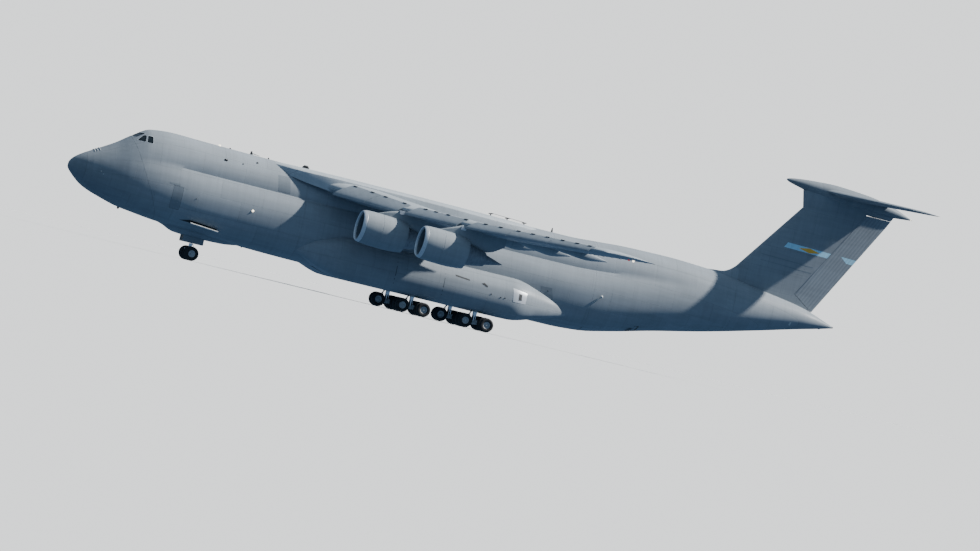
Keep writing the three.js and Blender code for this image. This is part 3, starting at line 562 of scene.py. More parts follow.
class Nodes:
    """The nodes of one material or sky, with a short way to each kind that is used often."""

    MIX_A, MIX_B, MIX_OUT = 6, 7, 2

    def __init__(self, owner: bpy.types.Material | bpy.types.World) -> None:
        """Turns the owner's nodes on."""
        owner.use_nodes = True
        self.tree = owner.node_tree

    def add(self, kind: str, inputs: dict | None = None, **settings: object) -> bpy.types.Node:
        """Adds a node.

        Args:
            kind: its type, without the leading ShaderNode.
            inputs: a value or an output socket for each input, by name or number.
            settings: its other properties.

        Returns:
            The node.
        """
        node = self.tree.nodes.new("ShaderNode" + kind)
        for name, value in settings.items():
            setattr(node, name, value)
        return self.fill(node, inputs or {})

    def fill(self, node: bpy.types.Node, inputs: dict) -> bpy.types.Node:
        """Sets a node's inputs to values, or links them to sockets.

        Args:
            node: the node.
            inputs: a value or a socket for each input, by name or number.

        Returns:
            The same node.
        """
        for name, value in inputs.items():
            if isinstance(value, bpy.types.NodeSocket):
                self.tree.links.new(value, node.inputs[name])
            else:
                node.inputs[name].default_value = value
        return node

    @cached_property
    def position(self) -> Socket:
        """The place on the piece, in metres of the frame."""
        return self.add("TexCoord").outputs["Object"]

    @cached_property
    def axes(self) -> list[Socket]:
        """The three coordinates of the place."""
        return list(self.add("SeparateXYZ", {0: self.position}).outputs)

    def calc(self, operation: str, *values: Socket | float) -> Socket:
        """One step of arithmetic on sockets or numbers."""
        return self.add("Math", dict(enumerate(values)), operation=operation).outputs[0]

    def ranged(self, value: Socket, source: Sequence[float], target: Sequence[float] = (0.0, 1.0)) -> Socket:
        """A value carried from one range to another and held at its ends."""
        return self.add("MapRange", {0: value, **dict(enumerate((*source, *target), 1))}).outputs[0]

    def noise(self, scale: float, detail: float, roughness: float,
              stretch: Sequence[float] = (1, 1, 1)) -> Socket:
        """Cloudy noise over the place, which is stretched first.

        Args:
            scale: how fine it is.
            detail: how many finer layers it has.
            roughness: how strong the finer layers are.
            stretch: factors along the three axes.

        Returns:
            The noise's value.
        """
        stretched = self.add("Mapping", {0: self.position, "Scale": stretch}).outputs[0]
        return self.add("TexNoise", {
            "Vector": stretched, "Scale": scale, "Detail": detail, "Roughness": roughness,
        }).outputs[0]

    def blend(self, share: Socket | float, first: Socket | Sequence, second: Socket | Sequence,
              way: str = "MIX") -> Socket:
        """Two colours mixed or multiplied by a share.

        Args:
            share: how much of the second there is.
            first: one colour.
            second: the other colour.
            way: MIX or MULTIPLY.

        Returns:
            The colour.
        """
        inputs = {0: share, self.MIX_A: first, self.MIX_B: second}
        return self.add("Mix", inputs, data_type="RGBA", blend_type=way).outputs[self.MIX_OUT]

    def bump(self, height: Socket, strength: float, distance: float) -> Socket:
        """The normal of a skin with some relief."""
        return self.add("Bump", {"Strength": strength, "Distance": distance, "Height": height}).outputs[0]


class Layout(Enum):
    """How panel lines run over a skin."""

    HULL = "round the fuselage"
    PLAN = "along the swept wing"
    SIDE = "on an upright side"
    PLAIN = "none"


@dataclass(frozen=True)
class Coat:
    """What covers a piece: a named material that the kinds below fill in."""

    name: str

    def inputs(self, nodes: Nodes) -> dict:
        """The main shader's inputs, by name."""
        return {}

    def build(self) -> bpy.types.Material:
        """Makes the material.

        Returns:
            The material.
        """
        material = bpy.data.materials.new(self.name)
        nodes = Nodes(material)
        nodes.fill(nodes.tree.nodes["Principled BSDF"], self.inputs(nodes))
        return material


@dataclass(frozen=True)
class Paint(Coat):
    """Matt polyurethane aircraft paint over riveted skin: dull and chalky, with seams that hold dirt."""

    colour: str = "8b9399"
    layout: Layout = Layout.HULL
    panel: Pair = (1.9, 0.85)
    roughness: float = 0.46
    seam: float = 0.007
    ribs: float = 0.0
    hull_middle: float = 2.6
    hull_radius: float = 1.85
    wing_sweep: float = 0.43
    seam_shade: float = 0.76
    # painted shade: how dark the forward-facing nose is painted
    nose_shade: float = 0.84

    def flat(self, nodes: Nodes) -> Socket:
        """The place on the skin laid flat, by the layout: along the aircraft and round, across or up it.

        Args:
            nodes: the material's nodes.

        Returns:
            The place for the bricks.
        """
        x, y, z = nodes.axes
        if self.layout is Layout.HULL:
            angle = nodes.calc("ARCTAN2", y, nodes.calc("SUBTRACT", z, self.hull_middle))
            along, over = x, nodes.calc("MULTIPLY", angle, self.hull_radius)
        elif self.layout is Layout.PLAN:
            along = nodes.calc("ABSOLUTE", y)
            over = nodes.calc("MULTIPLY_ADD", along, self.wing_sweep, x)
        else:
            along, over = x, z
        return nodes.add("CombineXYZ", {0: along, 1: over}).outputs[0]

    def base(self, nodes: Nodes) -> Socket | tuple:
        """The colour before dirt."""
        return linear(self.colour)

    def inputs(self, nodes: Nodes) -> dict:
        """Seams and panel tones come from bricks, dirt, streaks and runs from noise; the nose is darker, a
        painted shade of the skin that faces forward, away from the light.

        Args:
            nodes: the material's nodes.

        Returns:
            A value or a socket for each input of the main shader.
        """
        cloud = nodes.noise(scale=0.42, detail=4.0, roughness=0.6)
        streak = nodes.noise(scale=2.4, detail=5.0, roughness=0.65, stretch=(0.16, 1.5, 2.2))
        runs = nodes.noise(scale=2.0, detail=4.0, roughness=0.7, stretch=(4.5, 0.2, 0.3))
        shades = [
            nodes.ranged(cloud, (0.3, 0.7), (0.93, 1.06)),
            nodes.ranged(streak, (0.38, 0.72), (1.03, 0.9)),
            nodes.ranged(runs, (0.4, 0.7), (1.02, 0.93)),
        ]
        height = nodes.calc("MULTIPLY", cloud, 0.35)
        if self.layout is not Layout.PLAIN:
            tones = {"Color1": 0.97, "Color2": 1.025, "Mortar": self.seam_shade}
            bricks = nodes.add("TexBrick", {
                "Vector": self.flat(nodes), "Scale": 1.0, "Mortar Size": self.seam, "Mortar Smooth": 0.35,
                "Brick Width": self.panel[0], "Row Height": self.panel[1],
                **{name: (tone, tone, tone, 1.0) for name, tone in tones.items()},
            })
            shades.append(bricks.outputs["Color"])
            height = nodes.calc("MULTIPLY_ADD", bricks.outputs["Fac"], -1.0, height)
        if self.layout is Layout.HULL:
            # painted shade: the skin darkens towards the nose, which faces away from the light
            shades.append(nodes.ranged(nodes.axes[0], (ahead(9.0), ahead(3.0)), (1.0, self.nose_shade)))
        if self.ribs:
            along = nodes.add("Mapping", {0: nodes.position, "Rotation": (0, 0.47, 0)}).outputs[0]
            waves = {"Vector": along, "Scale": self.ribs, "Distortion": 0.0}
            wave = nodes.add("TexWave", waves, bands_direction="X").outputs["Fac"]
            shades.append(nodes.ranged(wave, (0.0, 0.5), (0.86, 1.0)))
            height = nodes.calc("MULTIPLY_ADD", wave, 1.5, height)
        shade = shades[0]
        for other in shades[1:]:
            shade = nodes.calc("MULTIPLY", shade, other)
        grey = nodes.add("CombineColor", {0: shade, 1: shade, 2: shade}).outputs[0]
        return {
            "Base Color": nodes.blend(1.0, self.base(nodes), grey, "MULTIPLY"),
            "Roughness": nodes.ranged(streak, (0.3, 0.7), (self.roughness - 0.06, self.roughness + 0.1)),
            "Normal": nodes.bump(height, 0.5, 0.004),
            "Specular IOR Level": 0.12,
        }


@dataclass(frozen=True)
class BandedPaint(Paint):
    """The fin's paint, with a plain light blue band that holds an amber lozenge."""

    band: Pair = (13.41, 13.88)
    band_s: Pair = (64.3, 68.6)
    level_s: float = 68.5
    drop: float = 0.023
    lean: float = 0.58
    lozenge_s: float = 66.6
    lozenge_half: float = 1.15
    lozenge_size: float = 0.92

    def base(self, nodes: Nodes) -> Socket:
        """The grey, with the band and its lozenge laid over it by height and station.

        Args:
            nodes: the material's nodes.

        Returns:
            The colour.
        """
        x, _, z = nodes.axes
        low, high = (edge * SCALE for edge in self.band)
        middle = (low + high) / 2
        front, back = (ahead(s) + self.lean * middle for s in self.band_s)

        def between(value: Socket, least: float, most: float) -> Socket:
            """1 where the value lies between two limits."""
            above, below = nodes.calc("GREATER_THAN", value, least), nodes.calc("LESS_THAN", value, most)
            return nodes.calc("MULTIPLY", above, below)

        def away(value: Socket, centre: float, half: float) -> Socket:
            """How many halves the value lies from a centre."""
            return nodes.calc("ABSOLUTE", nodes.calc("DIVIDE", nodes.calc("SUBTRACT", value, centre), half))

        level = nodes.calc("MULTIPLY_ADD", x, -self.drop, z)
        level = nodes.calc("ADD", level, ahead(self.level_s) * self.drop)
        along = between(nodes.calc("MULTIPLY_ADD", z, self.lean, x), back, front)
        band = nodes.calc("MULTIPLY", along, between(level, low, high))
        wide = away(x, ahead(self.lozenge_s), self.lozenge_half * SCALE)
        tall = away(level, middle, (high - low) / 2)
        inside = nodes.calc("LESS_THAN", nodes.calc("ADD", wide, tall), self.lozenge_size)
        blue = nodes.blend(inside, linear("a9dbef"), linear("edb54a"))
        return nodes.blend(band, linear(self.colour), blue)


@dataclass(frozen=True)
class Finish(Coat):
    """A finish without seams: its colours, gloss and grain, with the grain's scale per metre of the frame."""

    colour: str
    dark: str
    roughness: float = 0.5
    metallic: float = 0.0
    grain: float = 6.0
    stretch: Triple = (1, 1, 1)
    bump: float = 0.001
    transmission: float = 0.0
    emission: float = 0.0

    def inputs(self, nodes: Nodes) -> dict:
        """Two tones and the gloss follow one noise, which also gives the bump.

        Args:
            nodes: the material's nodes.

        Returns:
            A value or a socket for each input of the main shader.
        """
        noise = nodes.noise(self.grain, 5.0, 0.6, self.stretch)
        share, tones = nodes.ranged(noise, (0.35, 0.68)), (linear(self.colour), linear(self.dark))
        gloss = self.roughness * 0.85, min(1.0, self.roughness * 1.25)
        glow = {"Emission Color": linear(self.colour), "Emission Strength": self.emission}
        return {
            "Base Color": nodes.blend(share, *tones),
            "Roughness": nodes.ranged(noise, (0.3, 0.7), gloss),
            "Normal": nodes.bump(noise, 0.4, self.bump),
            "Metallic": self.metallic,
            "Transmission Weight": self.transmission,
            **(glow if self.emission else {}),
        }


class Finishes:
    """Every finish of the aircraft, each made once and named for the real one."""

    def __init__(self) -> None:
        """Makes the materials."""
        plan = {"layout": Layout.PLAN, "panel": (1.25, 0.62)}
        plain = {"layout": Layout.PLAIN}
        side = {"layout": Layout.SIDE}
        lamp = {"grain": 2.0, "emission": 0.6}
        coats = {
            "hull": Paint("matt_grey_paint_hull"),
            # Darker than the hull grey: painted shade of the nose, which faces away from the light
            "radome": Paint("radome_paint", "7d858b", roughness=0.42, **plain),
            # Lighter than the hull grey: painted sheen of bright sky on the upper surfaces, which also
            # lightens the undersides
            "wing": Paint("grey_paint_wing_painted_sheen", "9da5aa", **plan),
            # Darker than the hull grey: painted shade on the tailplane, elevators and bullet
            "tail": Paint("matt_grey_paint_tailplane", "7e868c", **plan),
            # Lighter than the hull grey: painted sheen of bright sky on the fairing's top
            "saddle": Paint("grey_paint_saddle_painted_sheen", "a8b0b5"),
            "side": Paint("matt_grey_paint_side", panel=(1.5, 0.8), **side),
            "cowl": Paint("grey_paint_cowl", "90989d", roughness=0.4, **plain),
            "door": Paint("darker_grey_paint_door", "7b848b", **plain),
            "slat": Paint("matt_grey_paint_slat", "868f96", **plain),
            "patch": Paint("fresh_grey_paint_patch", "788188", **plain),
            # A little darker than the hull grey: painted shade on the fin
            "fin": BandedPaint("matt_grey_paint_fin", "848c92", panel=(1.7, 0.95), **side),
            "rudder": BandedPaint("matt_grey_paint_rudder", ribs=2.2, band_s=(69.92, 73.0), lozenge_s=80.0,
                                  lean=-1.3, **plain),
            "pale": Finish("pale_window_frame_enamel", "aab1b6", "9aa2a8", 0.4, grain=8.0),
            # Partly the lip's real bare metal, partly a painted reflection: pale and only half metallic so
            # that it reads bright
            "lip": Finish("brushed_lip_metal_and_painted_reflection", "d3d7da", "bfc4c8", 0.34, 0.45, grain=10.0, bump=0.0004),
            "glass": Finish("tinted_laminated_glass", "1c262c", "141c21", 0.06, grain=2.0, bump=0.0001,
                            transmission=0.35),
            "sealant": Finish("black_sealant", "24282b", "1a1d1f", 0.55, grain=20.0),
            "deck": Finish("non_skid_deck_paint", "70767a", "5a6063", 0.75, grain=24.0, bump=0.003),
            "lining": Finish("quilted_cabin_lining", "9a9f97", "868b83", 0.8, grain=9.0, bump=0.004),
            "primer": Finish("yellow_green_primer", "8f9a6b", "7c875c", 0.6, grain=8.0),
            "aluminium": Finish("polished_aluminium", "c9ccce", "b4b8bb", 0.22, 1.0, grain=10.0, bump=0.0004),
            "nickel": Finish("heat_tinted_nickel_alloy", "8d949a", "747b82", 0.42, 0.3, grain=5.0,
                             stretch=(3, 1, 1)),
            "titanium": Finish("satin_titanium_blades", "4a4e52", "393c40", 0.32, 1.0, grain=12.0),
            "gear": Finish("white_gear_enamel", "c6c9c8", "a4a6a3", 0.34, grain=5.0),
            "chrome": Finish("hard_chrome", "e0e2e4", "d2d5d8", 0.08, 1.0, grain=30.0, bump=0.0001),
            "rubber": Finish("worn_tyre_rubber", "2d2e2f", "1f2021", 0.85, grain=16.0, bump=0.002),
            "rim": Finish("painted_magnesium_rim", "b3b6b6", "8d908f", 0.42, grain=14.0),
            "hose": Finish("black_hose_rubber", "26282a", "1c1e20", 0.6, grain=20.0),
            "lamp": Finish("clear_lamp_glass", "fff4dc", "f4ead0", 0.1, grain=2.0, emission=2.5),
            "red": Finish("red_lamp_glass", "c8201c", "a81814", 0.12, **lamp),
            "green": Finish("green_lamp_glass", "1f9a4c", "188040", 0.12, **lamp),
            "liner": Finish("grey_duct_liner", "6a747c", "59626a", 0.6, grain=8.0),
            # Black paint for aerials and dots, and dark marks that paint the shade in slots, openings and
            # recesses
            "dark": Finish("black_paint_and_painted_shade", "2b2f33", "202427", 0.6, grain=10.0),
            "cloth": Finish("dark_seat_cloth", "3b4248", "2e3439", 0.9, grain=40.0, bump=0.002),
        }
        self.materials = {key: coat.build() for key, coat in coats.items()}

    def __getattr__(self, key: str) -> bpy.types.Material:
        """The material of a short name."""
        return self.materials[key]


# Fuselage: half is the half width at the waist, and lobes says how far the two lobes show, 0 to 1
SECTIONS = np.array([
    # s, top, bottom, half, waist, lobes
    (0.0, 5.61, 5.59, 0.01, 5.6, 0), (0.45, 6.4, 4.93, 0.85, 5.6, 0), (1.8, 7.29, 4.0, 1.85, 5.5, 0),
    (3.6, 8.36, 3.42, 2.62, 5.35, 0), (4.8, 9.25, 3.11, 2.95, 5.3, 0.05),
    (5.4, 9.68, 3.01, 3.08, 5.25, 0.15), (6.3, 10.16, 2.9, 3.25, 5.2, 0.35),
    (8.4, 10.35, 2.66, 3.48, 5.2, 0.7), (11.0, 10.27, 2.48, 3.6, 5.2, 1), (20.5, 10.08, 2.1, 3.62, 5.2, 1),
    (45.0, 9.87, 1.92, 3.6, 5.2, 1), (47.4, 10.0, 2.05, 3.56, 5.3, 0.95),
    (50.4, 10.17, 2.62, 3.42, 5.65, 0.75), (54.0, 10.21, 3.49, 3.08, 6.2, 0.4),
    (58.5, 10.0, 4.47, 2.5, 6.8, 0), (63.5, 9.34, 5.72, 1.75, 7.3, 0), (67.5, 8.62, 6.78, 1.0, 7.65, 0),
    (69.6, 7.96, 7.3, 0.38, 7.64, 0), (70.45, 7.66, 7.54, 0.06, 7.6, 0),
])


@dataclass
class Hull:
    """Fuselage with its visor, radome, hold, doors and flight deck."""

    finishes: Finishes
    crease_width: float = 0.75
    crease_height: float = 0.47
    lower_lobe: float = 0.71
    arc_steps: int = 16
    lobe_steps: int = 6
    visor_hinge: Pair = (4.72, 9.23)
    visor_foot: Pair = (8.3, 2.4)
    radome_back: float = 1.3
    centre_front: float = 20.5
    aft_front: float = 47.4
    tail_front: float = 60.5
    seam: float = 0.008
    deck_floor: float = 7.65
    cabin_wall: float = 0.22
    visor_wall: float = 0.3
    crew_door_s: Pair = (8.75, 9.65)
    crew_door_z: float = 4.0
    ramp_half: float = 2.3
    ramp_top: float = 4.6
    side_panes: tuple = (
        ((5.15, 9.03), (5.8, 9.03), (5.88, 9.58), (5.68, 9.58)),
        ((5.92, 9.03), (6.42, 9.03), (6.42, 9.6), (5.99, 9.6)),
    )
    windscreen_y: Pair = (0.06, 0.96)
    windscreen_z: Pair = (9.26, 9.72)

    def ring(self, s: Array, growth: float = 0.0) -> Array:
        """Fuselage sections at some stations.

        The lower half is a superellipse. Above the waist a first arc bulges out and comes in to the crease,
        and a second, narrower one goes on to the crown; lobes blends both from plain ellipses.

        Args:
            s: the stations.
            growth: metres added outwards, negative for an inner wall.

        Returns:
            Points, as stations by points round the section by 3.
        """
        top, bottom, half, waist, lobes = columns(np.sqrt(SECTIONS[:, 0]), SECTIONS[:, 1:], np.sqrt(s))
        half, rise, drop = half + growth, top + growth - waist, waist - bottom + growth
        flat = 2 / (2 + 0.8 * lobes)
        angle = np.linspace(math.pi / 2, 0, self.arc_steps + 1)[None]
        cosine = np.clip(np.cos(angle), 0, 1)
        crease, lobe_end = math.asin(self.crease_height), math.asin(self.crease_height / self.lower_lobe)
        share, over = (np.arange(1, steps + 1)[None] / steps for steps in (self.lobe_steps, self.arc_steps))
        plain, lobe = crease * share, lobe_end * share
        pinch = mix(1, self.crease_width, (1 - np.cos(lobe)) / (1 - math.cos(lobe_end)))
        plain_over, lobe_over = mix(crease, math.pi / 2, over), math.pi / 2 * over
        across = np.concatenate([
            half * cosine ** flat,
            half * mix(np.cos(plain), pinch, lobes),
            half * mix(np.cos(plain_over), self.crease_width * np.cos(lobe_over), lobes),
        ], axis=1)
        up = np.concatenate([
            waist - drop * np.sin(angle) ** flat,
            waist + rise * mix(np.sin(plain), self.lower_lobe * np.sin(lobe), lobes),
            waist + rise * mix(np.sin(plain_over), mix(self.crease_height, 1, np.sin(lobe_over)), lobes),
        ], axis=1)
        across[:, 0] = across[:, -1] = 0
        port = place(s[:, None], across, up)
        return np.concatenate([port, (port * [1, -1, 1])[:, -2:0:-1]], axis=1)

    def skin(self, front: float, back: float, growth: float = 0.0, finish: int = 0) -> Shape:
        """A closed length of the fuselage's form, with finer steps where it curves more.

        Args:
            front: the station of its front end.
            back: the station of its rear end.
            growth: metres added outwards, negative for an inner wall.
            finish: the number of its finish.

        Returns:
            The body, closed at both ends.
        """
        nose = 3.6 * (np.arange(15) / 14) ** 2
        steps = [np.arange(*span) for span in ((3.9, 20, 0.35), (21, 45, 2), (45.5, 70, 0.7))]
        s = np.unique(np.concatenate([nose, SECTIONS[:, 0], *steps]))
        s = np.concatenate([[front], s[(s > front + 0.02) & (s < back - 0.02)], [back]])
        return Shape.skin(self.ring(s, growth), finish=finish)

    def ahead(self, shift: float) -> Shape:
        """The space ahead of the visor's split, moved aft by some metres.

        Args:
            shift: how far aft.

        Returns:
            A block that is cut off along the split.
        """
        (hinge_s, hinge_z), (foot_s, foot_z) = self.visor_hinge, self.visor_foot
        up, back = 2 * (hinge_z - foot_z), 2 * (hinge_s - foot_s)
        top, foot = (hinge_s + back + shift, hinge_z + up), (foot_s - back + shift, foot_z - up)
        return prism([top, foot, (-30, foot[1]), (-30, top[1])], (-6, 6))

    def side(self, s: Array, z: Array) -> Array:
        """How far to port the skin lies at some stations and heights, as a flat array."""
        port = self.ring(np.ravel(s))[:, :2 * self.arc_steps + self.lobe_steps + 1] / SCALE
        return np.array([np.interp(at, ring[:, 2], ring[:, 1]) for ring, at in zip(port, np.ravel(z))])

    @cached_property
    def hold(self) -> Shape:
        """The cargo hold: a tunnel with cut corners, narrower in front, that rises behind.

        Returns:
            The space, closed at both ends.
        """
        rows = [
            # s, floor, ceiling, half, edge, foot
            (3.0, 3.0, 7.2, 2.5, 2.2, 1.9), (8.7, 3.0, 7.2, 2.6, 2.3, 1.9), (13.0, 3.0, 7.2, 2.85, 2.5, 2.5),
            (47.4, 3.0, 7.2, 2.85, 2.5, 2.5), (52.5, 3.7, 7.2, 2.6, 2.1, 2.1),
            (56.5, 4.55, 7.4, 2.0, 1.6, 1.6), (60.2, 5.3, 7.7, 1.5, 1.15, 1.15),
        ]
        rings = []
        for s, floor, ceiling, half, edge, foot in rows:
            chamfer = min(0.8, 0.2 * (ceiling - floor))
            side = [(foot, floor), (half, floor + 0.6 * chamfer), (half, ceiling - chamfer), (edge, ceiling)]
            rings.append(place(s, *np.array(side + [(-y, z) for y, z in reversed(side)]).T))
        return loft(rings, 1)

    def panes(self, grown: float = 0.0) -> list[Shape]:
        """The openings of the windows: seen from the front for the windscreen, from the side for the rest.

        Args:
            grown: metres added round each opening.

        Returns:
            One shape for each opening.
        """
        tools = []
        for outline in self.side_panes:
            corners = softened(outline, 0.09, grown)
            tools += [prism(corners, y, 1) for y in ((1.0, 3.2), (-3.2, -1.0))]
        for side in (1, -1):
            outline = [(side * y, z) for y, z in rectangle(self.windscreen_y, self.windscreen_z)]
            corners = softened(outline, 0.08, grown)
            tools.append(loft([place(s, *corners.T) for s in (4.2, 6.5)], 1))
        return tools

    def build(self) -> None:
        """Makes the fuselage's pieces in order from the nose."""
        made = self.finishes
        self.nose()
        self.forward()
        self.flight_deck()
        self.doors()
        centre = Solid(self.skin(self.centre_front, self.aft_front - self.seam)).cut(self.hold)
        make("fuselage_centre_skin", centre, [made.hull, made.lining], replaces=["fuselage_centre"])
        cone = self.skin(self.tail_front, SECTIONS[-1, 0])
        make("tail_cone_skin", cone, [made.hull], replaces=["tail_cone"])
        self.hold_ribs()

    def nose(self) -> None:
        """The visor's shell, hollow behind the radome."""
        made = self.finishes
        visor = Solid(self.skin(self.radome_back + self.seam, 8.4)).within(self.ahead(-CLEAR))
        visor.cut(self.skin(1.9, 8.9, -self.visor_wall, finish=1))
        make("visor_skin", visor, [made.hull, made.primer], "visor", ["visor"])
        make("radome_skin", self.skin(0, self.radome_back), [made.radome], "visor", ["radome"], slot="radome")

    def forward(self) -> None:
        """The forward fuselage, cut for the hold's mouth, cabin, windows, crew door and nose gear bay."""
        made = self.finishes
        cabin = Solid(self.skin(4.9, 10.0, -self.cabin_wall, finish=2))
        cabin.within(box((4, 10), (-3, 3), (self.deck_floor, 11), 2)).cut(self.ahead(0.3).of(2))
        door = prism(rounded(self.crew_door_s, (self.crew_door_z, 6.0), 0.12), (2.3, 4.2), 1)
        hatch = box((8.9, 10), (1.0, 2.0), (7.0, 7.85), 1)
        bay = box(NOSE_BAY_S, NOSE_BAY_Y, (1.5, NOSE_BAY_TOP), 1)
        body = Solid(self.skin(self.visor_hinge[0] - 0.2, self.centre_front - self.seam))
        body.cut(self.ahead(0), self.hold, cabin.shape(), *self.panes()).cut(hatch, door, bay)
        make("fuselage_forward_skin", body, [made.hull, made.lining, made.lining],
             replaces=["fuselage_forward"])

    def flight_deck(self) -> None:
        """Glass with its frames, and the crew's seats and panels behind it."""
        made = self.finishes
        band = box((4.5, 6.9), (-3, 3), (8.97, 9.8))
        glass = Solid(self.skin(4.7, 7.6, -0.05)).within(band)
        glass.cut(self.skin(4.6, 7.8, -0.09), self.ahead(0.1))
        make("flight_deck_glass", glass, [made.glass], replaces=["flight_deck_glazing"], slot="glass")
        edge = Solid(self.skin(4.7, 7.6, 0.006)).cut(self.skin(4.6, 7.8, -0.03))
        edge.within(total(self.panes(0.035))).cut(*self.panes())
        make("window_frames", edge, [made.pale], slot="glass")
        seat = (((6.7, 7.15), (7.66, 8.3), 0.08, 0.25), ((7.1, 7.3), (8.1, 9.15), 0.08, 0.25),
                ((7.12, 7.26), (9.1, 9.38), 0.05, 0.13))
        parts = [prism(rounded(s, z, radius), (y - half, y + half))
                 for y in (-0.75, 0.75) for s, z, radius, half in seat]
        parts.append(prism([(5.6, 7.66), (6.2, 7.66), (6.1, 8.9), (5.75, 9.0), (5.55, 8.95)], (-1.6, 1.6)))
        parts.append(prism(rounded((6.2, 7.6), (7.66, 8.35), 0.05), (-0.22, 0.22)))
        make("flight_deck_seats", total(parts), [made.cloth], slot="deck", bevel=0.01)

    def doors(self) -> None:
        """Crew door, aft ramp, aft doors and the body that they close."""
        made = self.finishes
        hold = self.hold
        front, back = self.crew_door_s
        rings = []
        for y, top in ((2.86, 5.91), (4.2, 6.08)):
            corners = rounded((front + CLEAR, back - CLEAR), (self.crew_door_z + CLEAR, top), 0.11)
            rings.append(place(corners[:, 0], y, corners[:, 1]))
        door = Solid(self.skin(8, 11)).within(loft(rings)).cut(hold)
        make("crew_door_skin", door, [made.door, made.lining], "crew_door", ["crew_door"])
        whole = self.skin(self.aft_front, self.tail_front - self.seam)
        half = self.ramp_half - CLEAR
        leaf = prism([(47.44, 0), (53.2, 0), (51.69, self.ramp_top), (47.44, self.ramp_top)], (-half, half))
        s, y = np.array([(51.8, 0.0), (52.12, 0.0), (52.34, 2.2), (51.8, 2.2)]).T
        lip = loft([place(s, y, z) for z in (0.0, 3.72)])
        lips = [Solid(whole).within(lip.on(side)).shape() for side in (1, -1)]
        ramp = total([Solid(whole).within(leaf).cut(hold).shape(), *lips])
        make("aft_ramp_skin", ramp, [made.hull, made.deck], "aft_ramp", ["aft_ramp"])
        for hand, side in HANDS:
            leaf = Solid(whole).within(self.side_space(side, CLEAR)).cut(hold)
            name = f"aft_door_{hand}"
            make(f"aft_door_skin_{hand}", leaf, [made.hull, made.lining], name, [name])
        mouth = box((47.3, 52.6), (-self.ramp_half, self.ramp_half), (0, self.ramp_top), 1)
        body = Solid(whole).cut(hold, mouth, self.side_space(1, 0), self.side_space(-1, 0))
        make("fuselage_aft_skin", body, [made.hull, made.lining], replaces=["fuselage_aft"])

    def side_space(self, side: int, gap: float) -> Shape:
        """The space of one aft door, its ends square to the hinge at its outer edge.

        Args:
            side: 1 to port, -1 to starboard.
            gap: the clearance round the door, 0 for the opening.

        Returns:
            The space.
        """
        front, back = np.array((52.45, 2.284, 3.69)), np.array((60.2, 1.45, 5.371))
        _, slope_y, slope_z = (back - front) / (back[0] - front[0])
        inside = gap if gap > 0 else -1.0
        rings = []
        for (s, half, hinge), shift in ((front, gap), (back, -gap)):
            y = np.array([inside, half - gap, half - gap, inside])
            z = np.array([0, 0, 6.3, 6.3])
            rings.append(place(s + shift - slope_y * (y - half) - slope_z * (z - hinge), side * y, z))
        return loft(rings, 1)

    def hold_ribs(self) -> None:
        """Frames round the hold's walls and ceiling, about every metre and a half."""
        ribs = []
        for s in np.arange(10.2, 47.0, 1.55):
            span = (s, s + 0.12)
            wall = float(np.interp(s, [8.7, 13.0], [2.6, 2.85]))
            for side in (1, -1):
                ribs.append(box(span, sorted((side * (wall - 0.13), side * (wall + 0.05))), (3.7, 6.4)))
            ribs.append(box(span, (-2.4, 2.4), (7.08, 7.24)))
        make("hold_frames", total(ribs), [self.finishes.lining], bevel=0.008)


